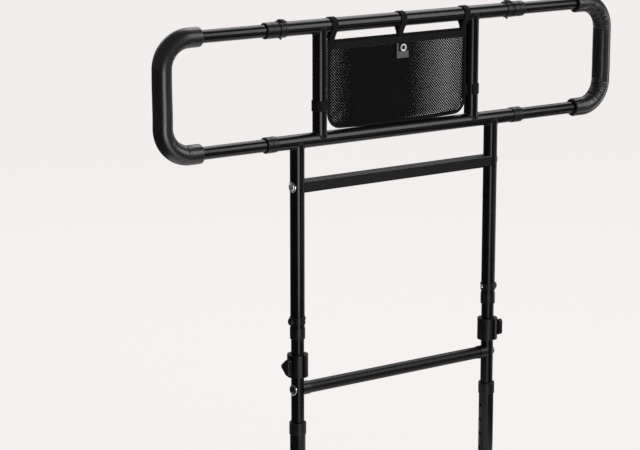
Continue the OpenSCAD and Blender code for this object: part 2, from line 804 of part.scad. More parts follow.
stop_collar(false);  // right_stop_collar
stop_collar_bushes();
stop_knob(true);  // left_stop_knob
stop_knob(false);  // right_stop_knob
lower_leg(true);  // left_lower_leg
lower_leg(false);  // right_lower_leg
socket_collar(true);  // left_socket_collar
socket_collar(false);  // right_socket_collar
runner(true);  // left_runner
runner(false);  // right_runner
rear_cross_tube();
runner_end_caps();
rubber_feet();
pouch();
pouch_hanging_loops();
pouch_side_straps();
pouch_tag();
tag_press_stud();
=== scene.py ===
"""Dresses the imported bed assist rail: paint, plastic, leather sleeves, mesh pouch, stage and camera."""

import math
import random

import bmesh
import bpy
from bpy.props import FloatProperty, FloatVectorProperty, IntProperty, PointerProperty
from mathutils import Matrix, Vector


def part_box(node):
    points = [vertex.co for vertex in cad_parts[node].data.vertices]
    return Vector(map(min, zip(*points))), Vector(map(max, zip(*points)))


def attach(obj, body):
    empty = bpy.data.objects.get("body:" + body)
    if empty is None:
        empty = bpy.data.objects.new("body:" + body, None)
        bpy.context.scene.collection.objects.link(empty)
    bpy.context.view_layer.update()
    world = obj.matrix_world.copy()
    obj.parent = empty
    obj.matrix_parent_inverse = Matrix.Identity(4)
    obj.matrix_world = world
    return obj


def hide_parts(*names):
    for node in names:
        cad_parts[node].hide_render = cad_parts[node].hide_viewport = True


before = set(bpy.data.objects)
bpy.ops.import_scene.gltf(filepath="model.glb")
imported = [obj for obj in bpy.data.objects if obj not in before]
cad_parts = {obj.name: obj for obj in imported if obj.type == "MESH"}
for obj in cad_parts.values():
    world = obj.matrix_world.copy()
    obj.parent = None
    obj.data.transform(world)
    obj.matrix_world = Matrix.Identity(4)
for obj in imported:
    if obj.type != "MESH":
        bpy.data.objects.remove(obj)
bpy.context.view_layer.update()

bl_info = {
    "name": "Bed assist rail",
    "version": (1, 0, 0),
    "blender": (4, 5, 0),
    "location": "3D View > Sidebar > Bed Rail",
    "description": "Dresses the packed bed assist rail and sets its stage",
    "category": "Add Mesh",
}

MM = 0.001


def middle(node):
    """Middle of a CAD node's box."""
    low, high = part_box(node)
    return (low + high) / 2


def half(node):
    """Half of the size of a CAD node's box."""
    low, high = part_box(node)
    return (high - low) / 2


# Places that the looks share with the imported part, in metres
RAIL_Y = middle("upper_rail_tube").y
UPPER_Z = middle("upper_rail_tube").z
LOWER_Z = middle("lower_rail_tube").z
TUBE_R = half("upper_rail_tube").z
UPRIGHT_X = middle("right_upright").x
LEG_X = middle("right_upper_leg").x
EXT_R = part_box("right_extension_tube")[1].z - UPPER_Z
GRIP_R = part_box("right_grip")[1].z - UPPER_Z
GRIP_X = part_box("right_grip")[1].x - GRIP_R
GRIP_END_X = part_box("right_grip")[0].x
POUCH_LOW, POUCH_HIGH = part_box("pouch")
RUNNER_R = half("right_runner").x
RUNNER_Z = middle("right_runner").z
REAR_Y = middle("rear_cross_tube").y
REAR_R = half("rear_cross_tube").z


# Fits and small sizes that several pieces share, in millimetres
TUBE_FIT = 0.05
SLIDE_FIT = 0.3
COLLAR_LIP = 4.0
BOLT_HEAD = 3.8
BOLT_SHANK = 40.0


def length_value(name, description, default, limits=(-5000, 5000)):
    """A length that a user may change; its default and limits are in millimetres."""
    return FloatProperty(
        name=name,
        description=description,
        default=default * MM,
        min=limits[0] * MM,
        max=limits[1] * MM,
        subtype="DISTANCE",
        unit="LENGTH",
    )


def angle_value(name, description, default):
    """An angle that a user may change; its default is in degrees."""
    return FloatProperty(
        name=name,
        description=description,
        default=math.radians(default),
        subtype="ANGLE",
        unit="ROTATION",
    )


def colour_value(name, description, default):
    """A colour that a user may change."""
    return FloatVectorProperty(
        name=name,
        description=description,
        size=3,
        default=default,
        subtype="COLOR",
        min=0,
        max=1,
    )


class FrameSizes(bpy.types.PropertyGroup):
    """Sizes of the welds and eased edges."""

    weld_width: length_value("Weld width", "Width of a weld bead across its joint", 4.6, (1, 10))
    weld_height: length_value("Weld height", "Height of a weld bead over the tubes", 1.9, (0.5, 4))
    weld_pitch: length_value("Weld ripple", "Distance from one ripple of a weld to the next", 1.5, (0.5, 4))
    eased_edge: length_value("Eased edge", "Width of the rounding on moulded edges", 0.9, (0.1, 2))


class GripSizes(bpy.types.PropertyGroup):
    """Sizes of the padded leather sleeves."""

    bend_radius: length_value("Bend radius", "Radius of the U tube's bends at its axis", 50)
    end_rounding: length_value("End rounding", "Rounding of the sleeve's cut ends", 2.6)
    crease_depth: length_value("Crease depth", "Depth of the creases on the inner side of the bends", 1.3)
    crease_pitch: length_value("Crease distance", "Usual distance from one crease to the next", 3.1)
    stitch_pitch: length_value("Stitch distance", "Distance from one stitch of the seam to the next", 4.5)


class PouchSizes(bpy.types.PropertyGroup):
    """Sizes of the mesh pouch."""

    mesh_width: length_value("Mesh width", "Width of a diamond of the mesh cloth", 5.3)
    mesh_height: length_value("Mesh height", "Height of a diamond of the mesh cloth", 5.25)
    hole_radius: length_value("Hole radius", "Radius of a hole of the mesh cloth", 0.92)
    yarn: length_value("Cloth thickness", "Thickness of the mesh cloth", 0.3)
    corner: length_value("Lower corner", "Radius of the pouch's lower corners", 26)
    spread: length_value("Side spread", "How far the pouch's edges spread past its solid", 1.3)
    sag: length_value("Bottom sag", "How far the bottom hangs through at its middle", 4.2)
    hem: length_value("Hem height", "Height of the plain band along the pouch's mouth", 12.5)
    front_drop: length_value("Front drop", "How far the front hem lies under the back hem", 4.6)
    binding: length_value("Binding width", "Width of the tape round the pouch's edge", 6)
    depth: length_value("Depth", "Distance from the front panel to the back panel", 4.5)
    stitch_pitch: length_value("Stitch distance", "Distance from one stitch to the next", 2.8)
    back_shift: FloatVectorProperty(
        name="Back mesh shift",
        description="How far the back panel's holes are shifted against the front panel's",
        size=2,
        default=(1.58 * MM, -0.85 * MM),
        subtype="XYZ_LENGTH",
        unit="LENGTH",
    )
    back_stretch: FloatProperty(
        name="Back mesh stretch",
        description="How much wider the back panel's mesh is pulled than the front panel's",
        default=1.0197,
        min=0.9,
        max=1.1,
    )
    settle_frames: IntProperty(
        name="Settling steps",
        description="Steps that the cloth of the front panel takes to settle",
        default=24,
        min=1,
        max=60,
    )
    tag_shift: length_value("Tag shift", "How far the tag hangs to the right of the pouch's middle", 6.6)


class FinishColours(bpy.types.PropertyGroup):
    """Colours of the finishes."""

    paint: colour_value("Frame paint", "Powder coat of the tubes", (0.0028, 0.0028, 0.003))
    plastic: colour_value("Plastic", "Moulded collars, rings, buttons and knobs", (0.0042, 0.0042, 0.0044))
    leather: colour_value("Leather", "Sleeves of the grips", (0.0052, 0.0051, 0.0053))
    cloth: colour_value("Mesh cloth", "Open mesh of the pouch", (0.0036, 0.0036, 0.0038))
    webbing: colour_value("Webbing", "Hem, binding, loops and straps", (0.0056, 0.0056, 0.0058))
    tag: colour_value("Tag", "Bare tag on the pouch", (0.16, 0.162, 0.166))
    steel: colour_value("Bright steel", "Plated bolts, washers, screws and plugs", (0.74, 0.74, 0.75))
    rubber: colour_value("Rubber", "Feet under the runners", (0.009, 0.009, 0.009))


class StageSettings(bpy.types.PropertyGroup):
    """Floor, light and camera."""

    floor: colour_value("Floor", "Colour of the floor", (0.905, 0.871, 0.863))
    daylight: FloatProperty(
        name="Surround",
        description="Strength of the even light from all round",
        default=0.2,
        min=0,
        max=2,
    )
    target: FloatVectorProperty(
        name="Camera target",
        description="Point that the camera looks at",
        size=3,
        default=(-0.16735, -0.17439, 0.63163),
        subtype="XYZ_LENGTH",
        unit="LENGTH",
    )
    azimuth: angle_value("Camera azimuth", "Direction of the camera round the rail", -35.793)
    elevation: angle_value("Camera elevation", "Height of the camera over the horizon, as an angle", 12.227)
    distance: length_value("Camera distance", "Distance of the camera from its target", 3842.01)
    lens: FloatProperty(
        name="Lens",
        description="Focal length of the camera in millimetres",
        default=124.227,
        min=10,
        max=400,
    )


class Wire:
    """A node's output, on which sums can be written as plain Python."""

    def __init__(self, book, socket):
        self.book = book
        self.socket = socket

    def maths(self, operation, *others):
        values = {k + 1: v for k, v in enumerate(others)}
        return self.book.node("ShaderNodeMath", {"operation": operation}, {0: self, **values})

    def out(self, name):
        return Wire(self.book, self.socket.node.outputs[name])

    def __add__(self, other):
        return self.maths("ADD", other)

    def __radd__(self, other):
        return self.maths("ADD", other)

    def __sub__(self, other):
        return self.maths("SUBTRACT", other)

    def __rsub__(self, other):
        return (self * -1.0).maths("ADD", other)

    def __mul__(self, other):
        return self.maths("MULTIPLY", other)

    def __rmul__(self, other):
        return self.maths("MULTIPLY", other)

    def __truediv__(self, other):
        return self.maths("DIVIDE", other)

    def sine(self):
        return self.maths("SINE")

    def size(self):
        return self.maths("ABSOLUTE")

    def whole(self):
        return self.maths("FLOOR")

    def left_over(self, step):
        return self.maths("FLOORED_MODULO", step)

    def most(self, other):
        return self.maths("MAXIMUM", other)

    def least(self, other):
        return self.maths("MINIMUM", other)


class NodeBook:
    """A node tree that is written down node by node."""

    def __init__(self, tree):
        self.tree = tree

    def node(self, kind, settings=None, sockets=None, out=0):
        """Adds a node of a kind; its settings are set first, then its sockets' values or links."""
        made = self.tree.nodes.new(kind)
        for key, value in (settings or {}).items():
            setattr(made, key, value)
        for key, value in (sockets or {}).items():
            self.feed(made.inputs[key], value)
        return Wire(self, made.outputs[out]) if len(made.outputs) else made

    def feed(self, socket, value):
        if isinstance(value, Wire):
            self.tree.links.new(value.socket, socket)
        else:
            socket.default_value = value


class Finish(NodeBook):
    """A procedural finish in metres, on the piece's own coordinates."""

    def __init__(self, name):
        self.material = bpy.data.materials.new(name)
        self.material.use_nodes = True
        super().__init__(self.material.node_tree)
        self.tree.nodes.clear()
        self.place = self.node("ShaderNodeTexCoord").out("Object")

    def stretched(self, scale):
        sockets = {"Vector": self.place, "Scale": scale}
        return self.node("ShaderNodeMapping", {"vector_type": "POINT"}, sockets)

    def grain(self, scale, detail=2.0, rough=0.5, place=None):
        """Cloudy noise from 0 to 1 with about so many clouds to a metre."""
        sockets = {"Vector": place or self.place, "Scale": scale, "Detail": detail, "Roughness": rough}
        return self.node("ShaderNodeTexNoise", {"noise_dimensions": "3D"}, sockets)

    def cells(self, scale):
        """Distance to the nearest of scattered points."""
        settings = {"voronoi_dimensions": "3D", "feature": "F1"}
        found = self.node("ShaderNodeTexVoronoi", settings, {"Vector": self.place, "Scale": scale})
        return found.out("Distance")

    def ramp(self, value, low, high):
        """Maps low to 0 and high to 1, and holds the ends."""
        sockets = {"Value": value, "From Min": low, "From Max": high}
        return self.node("ShaderNodeMapRange", {"clamp": True, "interpolation_type": "SMOOTHSTEP"}, sockets)

    def shades(self, share, first, second):
        """One colour running into another."""
        sockets = {0: share, 6: (*first, 1), 7: (*second, 1)}
        return self.node("ShaderNodeMix", {"data_type": "RGBA"}, sockets, out=2)

    def bump(self, height, depth, strength=1.0):
        sockets = {"Height": height, "Distance": depth, "Strength": strength}
        return self.node("ShaderNodeBump", {}, sockets)

    def attribute(self, name):
        settings = {"attribute_type": "GEOMETRY", "attribute_name": name}
        return self.node("ShaderNodeAttribute", settings).out("Fac")

    def cloth_plane(self):
        """The two directions of the piece's own cloth, in metres."""
        plane = self.node("ShaderNodeUVMap", {"uv_map": "cloth"})
        parts = self.node("ShaderNodeSeparateXYZ", {}, {"Vector": plane})
        return parts.out("X"), parts.out("Y")

    def shine(self, **sockets):
        """Ends the finish in its surface shader; names are the shader's own with _ for a space."""
        named = {key.replace("_", " "): value for key, value in sockets.items()}
        surface = self.node("ShaderNodeBsdfPrincipled", {}, named)
        self.node("ShaderNodeOutputMaterial", {}, {"Surface": surface})
        return self.material


def tint(colour, share):
    return tuple(min(1.0, c * share) for c in colour)


def paint_finish(name, rub=None, dull=0.0):
    """Black powder coat with a fine orange peel; rub is the way that the tube slides, dull adds roughness."""
    colour = bpy.context.scene.rail_colours.paint
    f = Finish(name)
    peel = f.grain(760, 1.5, 0.45)
    cloud = f.grain(21, 3.0, 0.55)
    speck = f.ramp(f.cells(420), 0.02, 0.12)
    rough = 0.15 + dull + 0.07 * cloud
    tone = f.ramp(cloud, 0.3, 0.75)
    height = peel * 0.85 + speck * 0.15
    if rub:
        stretch = tuple(14.0 if axis == rub else 900.0 for axis in "XYZ")
        marks = f.grain(1.0, 2.0, 0.6, f.stretched(stretch))
        worn = f.ramp(marks, 0.56, 0.74)
        rough = rough - 0.05 * worn + 0.03 * marks
        tone = (tone * 0.7 + worn * 0.5).least(1.0)
    shade = f.shades(tone, tint(colour, 0.8), tint(colour, 1.7))
    return f.shine(
        Base_Color=shade,
        Roughness=rough,
        IOR=1.4 - 0.5 * dull,
        Normal=f.bump(height, 0.000016, 0.5),
    )


def plastic_finish(name):
    """Satin moulded plastic with a fine spark texture."""
    colour = bpy.context.scene.rail_colours.plastic
    f = Finish(name)
    spark = f.grain(2100, 2.0, 0.6)
    cloud = f.grain(34, 2.0, 0.5)
    handled = f.ramp(f.grain(160, 3.0, 0.6), 0.5, 0.8)
    shade = f.shades(f.ramp(cloud, 0.3, 0.8), tint(colour, 0.8), tint(colour, 1.6))
    return f.shine(
        Base_Color=shade,
        Roughness=0.29 + 0.1 * cloud - 0.06 * handled,
        IOR=1.42,
        Normal=f.bump(spark, 0.000018, 0.5),
    )


def leather_finish(name):
    """Smooth black leather: small grains, pores, and dull folds where it is creased, which are also painted
    darker as painted shade.
    """
    colour = bpy.context.scene.rail_colours.leather
    f = Finish(name)
    fold_and_shade = f.attribute("crease")
    grains = f.ramp(f.cells(820), 0.05, 0.6)
    fine = f.grain(2900, 2.0, 0.6)
    cloud = f.grain(26, 3.0, 0.55)
    # painted shade: the base colour is darkened by up to three quarters where the crease share is high
    tone = (f.ramp(cloud, 0.3, 0.8) * 0.7 + grains * 0.3) * (1 - 0.75 * fold_and_shade)
    shade = f.shades(tone, tint(colour, 0.55), tint(colour, 1.7))
    return f.shine(
        Base_Color=shade,
        Roughness=0.31 + 0.06 * cloud - 0.05 * grains + 0.16 * fold_and_shade,
        IOR=1.66,
        Normal=f.bump(grains * 0.8 + fine * 0.2, 0.000055, 0.5),
    )


def mesh_finish(name):
    """Matt polyester yarn of the open mesh, with its fine strands."""
    colour = bpy.context.scene.rail_colours.cloth
    f = Finish(name)
    strands = f.grain(1.0, 2.0, 0.6, f.stretched((900.0, 900.0, 3400.0)))
    lint = f.grain(58, 3.0, 0.6)
    shade = f.shades(f.ramp(strands * 0.6 + lint * 0.4, 0.3, 0.75), tint(colour, 0.6), tint(colour, 2.0))
    return f.shine(
        Base_Color=shade,
        Roughness=0.62 + 0.2 * strands,
        IOR=1.22,
        Sheen_Weight=0.02,
        Sheen_Roughness=0.4,
        Normal=f.bump(strands, 0.00007, 0.7),
    )


def woven_finish(name, colour, pitch, sheen):
    """Plain weave on the piece's own cloth plane."""
    f = Finish(name)
    across, along = f.cloth_plane()
    u = across / pitch
    v = along / pitch
    over = (u.whole() + v.whole()).left_over(2.0)
    warp = (u * math.pi).sine().size()
    weft = (v * math.pi).sine().size()
    weave = warp * over + weft * (1 - over)
    lint = f.grain(240, 3.0, 0.6)
    strands = f.grain(5200, 1.0, 0.5)
    tone = (weave * 0.65 + lint * 0.45).least(1.0)
    shade = f.shades(tone, tint(colour, 0.45), tint(colour, 1.7))
    return f.shine(
        Base_Color=shade,
        Roughness=0.68 + 0.16 * lint,
        IOR=1.3,
        Sheen_Weight=sheen,
        Sheen_Roughness=0.45,
        Normal=f.bump(weave * 0.85 + strands * 0.15, 0.00016, 0.8),
    )


def webbing_finish(name):
    return woven_finish(name, bpy.context.scene.rail_colours.webbing, 0.00085, 0.03)


def tag_finish(name):
    return woven_finish(name, bpy.context.scene.rail_colours.tag, 0.0006, 0.05)


def thread_finish(name):
    """Twisted sewing thread."""
    colour = tint(bpy.context.scene.rail_colours.webbing, 1.5)
    f = Finish(name)
    twist = f.grain(1.0, 1.0, 0.5, f.stretched((2600.0, 2600.0, 1400.0)))
    shade = f.shades(twist, tint(colour, 0.6), tint(colour, 1.8))
    return f.shine(
        Base_Color=shade,
        Roughness=0.5 + 0.2 * twist,
        IOR=1.45,
        Normal=f.bump(twist, 0.00006, 0.7),
    )


def metal_finish(name, colour, rough):
    """Plated metal with fine turning marks and a few dull spots."""
    f = Finish(name)
    marks = f.grain(1.0, 2.0, 0.6, f.stretched((500.0, 2600.0, 2600.0)))
    dull = f.ramp(f.grain(300, 3.0, 0.6), 0.5, 0.8)
    shade = f.shades(dull, colour, tint(colour, 0.82))
    return f.shine(
        Base_Color=shade,
        Metallic=1.0,
        Roughness=rough + 0.08 * marks + 0.1 * dull,
        Normal=f.bump(marks, 0.000008, 0.5),
    )


def bright_finish(name):
    return metal_finish(name, tuple(bpy.context.scene.rail_colours.steel), 0.12)


def nickel_finish(name):
    return metal_finish(name, (0.86, 0.86, 0.85), 0.4)


def spring_finish(name):
    return metal_finish(name, (0.42, 0.42, 0.43), 0.24)


def brass_finish(name):
    return metal_finish(name, (0.52, 0.37, 0.14), 0.22)


def oxide_finish(name):
    """Blackened steel of the lower bolts, worn a little in cloudy patches."""
    f = Finish(name)
    cloud = f.grain(420, 3.0, 0.6)
    worn = f.ramp(cloud, 0.55, 0.85)
    shade = f.shades(worn, (0.008, 0.008, 0.0085), (0.03, 0.03, 0.03))
    return f.shine(
        Base_Color=shade,
        Metallic=0.35 * worn,
        Roughness=0.3 + 0.16 * cloud,
        IOR=1.5,
        Normal=f.bump(f.grain(2600, 2.0, 0.6), 0.00001, 0.5),
    )


def rubber_finish(name):
    """Dull rubber with a dusty bloom."""
    colour = bpy.context.scene.rail_colours.rubber
    f = Finish(name)
    bloom = f.grain(90, 4.0, 0.6)
    pores = f.grain(1500, 2.0, 0.6)
    shade = f.shades(f.ramp(bloom, 0.35, 0.8), tint(colour, 0.8), tint(colour, 2.4))
    return f.shine(
        Base_Color=shade,
        Roughness=0.72 + 0.14 * bloom,
        IOR=1.45,
        Normal=f.bump(pores, 0.00004, 0.6),
    )


FINISH_MAKERS = {
    "frame_paint": paint_finish,
    "dull_paint": lambda name: paint_finish(name, None, 0.18),
    "sliding_paint_x": lambda name: paint_finish(name, "X"),
    "sliding_paint_z": lambda name: paint_finish(name, "Z"),
    "black_plastic": plastic_finish,
    "grip_leather": leather_finish,
    "mesh_yarn": mesh_finish,
    "webbing_weave": webbing_finish,
    "tag_weave": tag_finish,
    "sewing_thread": thread_finish,
    "bright_steel": bright_finish,
    "satin_nickel": nickel_finish,
    "spring_steel": spring_finish,
    "brass": brass_finish,
    "black_oxide": oxide_finish,
    "foot_rubber": rubber_finish,
}
made_finishes = {}


def finish(name):
    """The finish of that name, made when it is first asked for."""
    if name not in made_finishes:
        made_finishes[name] = FINISH_MAKERS[name](name + "_finish")
    return made_finishes[name]


def dress_node(node, finish_name):
    """Gives a CAD node that stays in view its finish."""
    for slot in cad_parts[node].material_slots:
        slot.material = finish(finish_name)


def settle(piece, body, slot, *nodes):
    """A finished piece rides on its body and stands for CAD nodes; its slot is not used."""
    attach(piece, body)
    if nodes:
        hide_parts(*nodes)
    return piece


def round_turn(count):
    """Cosine and sine of even steps round a circle."""
    angles = [2 * math.pi * k / count for k in range(count)]
    return [(math.cos(a), math.sin(a)) for a in angles]


class Shell:
    """Points and faces of a piece while it is drawn, with its cloth plane in metres."""

    def __init__(self):
        self.points = []
        self.faces = []
        self.planes = []
        self.marks = []

    def loft(self, rings, around=False, caps=False, marks=None):
        """Skins closed rings of points; around joins the last ring to the first, caps closes the ends."""
        start = len(self.points)
        width = len(rings[0])
        for ring in rings:
            self.points.extend(ring)
        self.marks.extend(marks if marks else [0.0] * (width * len(rings)))
        steps = [0.0]
        for j in range(width):
            steps.append(steps[-1] + (Vector(rings[0][(j + 1) % width]) - Vector(rings[0][j])).length)
        runs = [0.0]
        for i in range(len(rings)):
            pairs = zip(rings[i], rings[(i + 1) % len(rings)])
            runs.append(runs[-1] + sum((Vector(a) - Vector(b)).length for a, b in pairs) / width)
        for i in range(len(rings) if around else len(rings) - 1):
            here = start + i * width
            there = start + (i + 1) % len(rings) * width
            for j in range(width):
                k = (j + 1) % width
                self.faces.append([here + j, here + k, there + k, there + j])
                corners = ((j, i), (j + 1, i), (j + 1, i + 1), (j, i + 1))
                self.planes.append([(steps[across], runs[along]) for across, along in corners])
        if caps:
            for i in (0, len(rings) - 1):
                here = start + i * width
                self.points.append(sum((Vector(p) for p in rings[i]), Vector()) / width)
                self.marks.append(0.0)
                for j in range(width):
                    self.faces.append([here + j, here + (j + 1) % width, len(self.points) - 1])
                    self.planes.append([(steps[j], runs[i]), (steps[j + 1], runs[i]), (steps[j], runs[i])])
        return self

    def turned(self, outline, axis, centre, steps=72):
        """Turns a closed outline of (along, out) in millimetres about an axis through a centre."""
        along = Vector(axis).normalized()
        side = Vector((0, 0, 1)) if abs(along.z) < 0.9 else Vector((1, 0, 0))
        up = along.cross(side).normalized()
        rings = []
        for c, s in round_turn(steps):
            arm = side * c + up * s
            rings.append([Vector(centre) + (along * a + arm * r) * MM for a, r in outline])
        return self.loft(rings, around=True)

    def piece(self, name, finish_name, sharp=60):
        """The shell as an object at the origin."""
        mesh = bpy.data.meshes.new(name)
        mesh.from_pydata([tuple(p) for p in self.points], [], self.faces)
        plane = mesh.uv_layers.new(name="cloth")
        flat = [c for corners in self.planes for uv in corners for c in uv]
        plane.data.foreach_set("uv", flat)
        # the marks are each point's crease share, which the leather finish reads for its painted shade in the
        # creases and for its roughness
        if any(self.marks):
            crease = mesh.attributes.new("crease", "FLOAT", "POINT")
            crease.data.foreach_set("value", self.marks)
        work = bmesh.new()
        work.from_mesh(mesh)
        bmesh.ops.remove_doubles(work, verts=work.verts, dist=1e-7)
        bmesh.ops.dissolve_degenerate(work, edges=work.edges, dist=1e-8)
        bmesh.ops.recalc_face_normals(work, faces=work.faces)
        work.to_mesh(mesh)
        work.free()
        return plain_piece(name, mesh, finish_name, sharp)


def plain_piece(name, mesh, finish_name, sharp=60):
    """Links a mesh as a smooth piece with one finish."""
    mesh.materials.clear()
    mesh.materials.append(finish(finish_name))
    mesh.polygons.foreach_set("use_smooth", [True] * len(mesh.polygons))
    if sharp:
        mesh.set_sharp_from_angle(angle=math.radians(sharp))
    mesh.name = name
    piece = bpy.data.objects.new(name, mesh)
    bpy.context.scene.collection.objects.link(piece)
    return piece


def rounded(corners, steps=4):
    """Rounds a closed outline; each corner is (along, out, radius)."""
    lead = 1.08
    points = []
    for k, (a, b, radius) in enumerate(corners):
        here = Vector((a, b))
        to_last = Vector(corners[k - 1][:2]) - here
        to_next = Vector(corners[(k + 1) % len(corners)][:2]) - here
        if radius <= 0:
            points.append(here)
            continue
        turn = to_last.angle(to_next)
        longest = 0.46 * min(to_last.length, to_next.length)
        cut = min(radius / math.tan(turn / 2), longest)
        fit = cut * math.tan(turn / 2)
        to_last.normalize()
        to_next.normalize()
        centre = here + (to_last + to_next).normalized() * (fit / math.sin(turn / 2))
        first = here + to_last * cut - centre
        last = here + to_next * cut - centre
        start = math.atan2(first.y, first.x)
        sweep = math.atan2(last.y, last.x) - start
        sweep = (sweep + math.pi) % (2 * math.pi) - math.pi
        points.append(here + to_last * cut * lead)
        for n in range(steps + 1):
            angle = start + sweep * n / steps
            points.append(centre + Vector((math.cos(angle), math.sin(angle))) * fit)
        points.append(here + to_next * cut * lead)
    return [(p.x, p.y) for p in points]


def rounded_box(half_wide, half_high, radius, steps):
    """Outline of a rectangle with round corners."""
    corners = ((-1, -1), (1, -1), (1, 1), (-1, 1))
    return rounded([(a * half_wide, b * half_high, radius) for a, b in corners], steps)


def moulded(shell, name, body, node, sharp=40):
    """A shell as a black plastic piece that stands for a CAD node."""
    return settle(shell.piece(name, "black_plastic", sharp), body, "black_plastic", node)


def eased_copy(name, nodes, width, finish_name, segments=3):
    """A copy of CAD solids with their sharp edges eased."""
    flat_angle = math.radians(1)
    edge_angle = math.radians(38)
    work = bmesh.new()
    for node in nodes:
        work.from_mesh(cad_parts[node].data)
    bmesh.ops.remove_doubles(work, verts=work.verts, dist=2e-6)
    bmesh.ops.dissolve_limit(work, angle_limit=flat_angle, verts=work.verts, edges=work.edges)
    sharp = [e for e in work.edges if len(e.link_faces) == 2 and e.calc_face_angle(0) > edge_angle]
    bmesh.ops.bevel(
        work,
        geom=sharp,
        offset=width,
        offset_type="OFFSET",
        segments=segments,
        profile=0.5,
        affect="EDGES",
        clamp_overlap=True,
    )
    mesh = bpy.data.meshes.new(name)
    work.to_mesh(mesh)
    work.free()
    piece = plain_piece(name, mesh, finish_name, 48)
    even = piece.modifiers.new("even", "WEIGHTED_NORMAL")
    even.keep_sharp = True
    return baked(piece)


def baked(piece):
    """Makes a piece's modifiers part of its mesh."""
    graph = bpy.context.evaluated_depsgraph_get()
    mesh = bpy.data.meshes.new_from_object(piece.evaluated_get(graph))
    old = piece.data
    piece.modifiers.clear()
    piece.data = mesh
    bpy.data.meshes.remove(old)
    mesh.name = piece.name
    return piece


class GrowthTree(NodeBook):
    """A Geometry Nodes tree with named inputs."""

    kinds = {
        "length": "NodeSocketFloat",
        "count": "NodeSocketInt",
        "finish": "NodeSocketMaterial",
        "copy": "NodeSocketObject",
    }

    def __init__(self, name, **inputs):
        tree = bpy.data.node_groups.new(name, "GeometryNodeTree")
        super().__init__(tree)
        tree.interface.new_socket(name="Geometry", in_out="INPUT", socket_type="NodeSocketGeometry")
        for key, kind in inputs.items():
            tree.interface.new_socket(name=key, in_out="INPUT", socket_type=self.kinds[kind])
        tree.interface.new_socket(name="Geometry", in_out="OUTPUT", socket_type="NodeSocketGeometry")
        self.given = self.node("NodeGroupInput")

    def end(self, geometry):
        """Makes the copies real, gives them their finish and ends the tree."""
        real = self.node("GeometryNodeRealizeInstances", {}, {"Geometry": geometry})
        sockets = {"Geometry": real, "Material": self.given.out("Finish")}
        dressed = self.node("GeometryNodeSetMaterial", {}, sockets)
        self.node("NodeGroupOutput", {}, {"Geometry": dressed})
        return self.tree

    def facing(self, tangent):
        """Turns a copy's X along its path and its Z to the side that the path faces."""
        side = self.node("GeometryNodeInputNamedAttribute", {"data_type": "FLOAT_VECTOR"}, {"Name": "facing"})
        along = self.node("FunctionNodeAlignRotationToVector", {"axis": "X"}, {"Vector": tangent})
        settings = {"axis": "Z", "pivot_axis": "X"}
        return self.node("FunctionNodeAlignRotationToVector", settings, {"Rotation": along, "Vector": side})


def bead_row_tree():
    """Rounded beads one after another along a path: stitches and the ripples of a weld."""
    t = GrowthTree(
        "bead_row",
        Pitch="length",
        Length="length",
        Width="length",
        Height="length",
        Slant="length",
        Unevenness="length",
        Seed="count",
        Finish="finish",
    )
    path = t.node("GeometryNodeMeshToCurve", {}, {"Mesh": t.given.out("Geometry")})
    sockets = {"Curve": path, "Length": t.given.out("Pitch")}
    spaced = t.node("GeometryNodeResampleCurve", {"mode": "LENGTH"}, sockets)
    ball = t.node("GeometryNodeMeshUVSphere", {}, {"Segments": 8, "Rings": 5, "Radius": 0.5})
    sockets = {"X": t.given.out("Length"), "Y": t.given.out("Width"), "Z": t.given.out("Height")}
    size = t.node("ShaderNodeCombineXYZ", {}, sockets)
    bead = t.node("GeometryNodeTransform", {}, {"Geometry": ball, "Scale": size})
    turn = t.facing(t.node("GeometryNodeInputTangent"))
    slant = t.node("ShaderNodeCombineXYZ", {}, {"Z": t.given.out("Slant")})
    skew = t.node("FunctionNodeEulerToRotation", {}, {"Euler": slant})
    sockets = {"Rotation": turn, "Rotate By": skew}
    turned = t.node("FunctionNodeRotateRotation", {"rotation_space": "LOCAL"}, sockets)
    low = 1 - t.given.out("Unevenness")
    high = 1 + t.given.out("Unevenness")
    sockets = {2: low, 3: high, "Seed": t.given.out("Seed")}
    uneven = t.node("FunctionNodeRandomValue", {"data_type": "FLOAT"}, sockets, out=1)
    sockets = {"Points": spaced, "Instance": bead, "Rotation": turned, "Scale": uneven}
    return t.end(t.node("GeometryNodeInstanceOnPoints", {}, sockets))


def copies_tree():
    """Copies of one shape on points, each turned to the side that its point faces."""
    t = GrowthTree("copies_on_points", Copy="copy", Finish="finish")
    shape = t.node("GeometryNodeObjectInfo", {"transform_space": "ORIGINAL"}, {"Object": t.given.out("Copy")})
    side = t.node("GeometryNodeInputNamedAttribute", {"data_type": "FLOAT_VECTOR"}, {"Name": "facing"})
    turn = t.node("FunctionNodeAlignRotationToVector", {"axis": "X"}, {"Vector": side})
    sockets = {"Points": t.given.out("Geometry"), "Instance": shape.out("Geometry"), "Rotation": turn}
    return t.end(t.node("GeometryNodeInstanceOnPoints", {}, sockets))


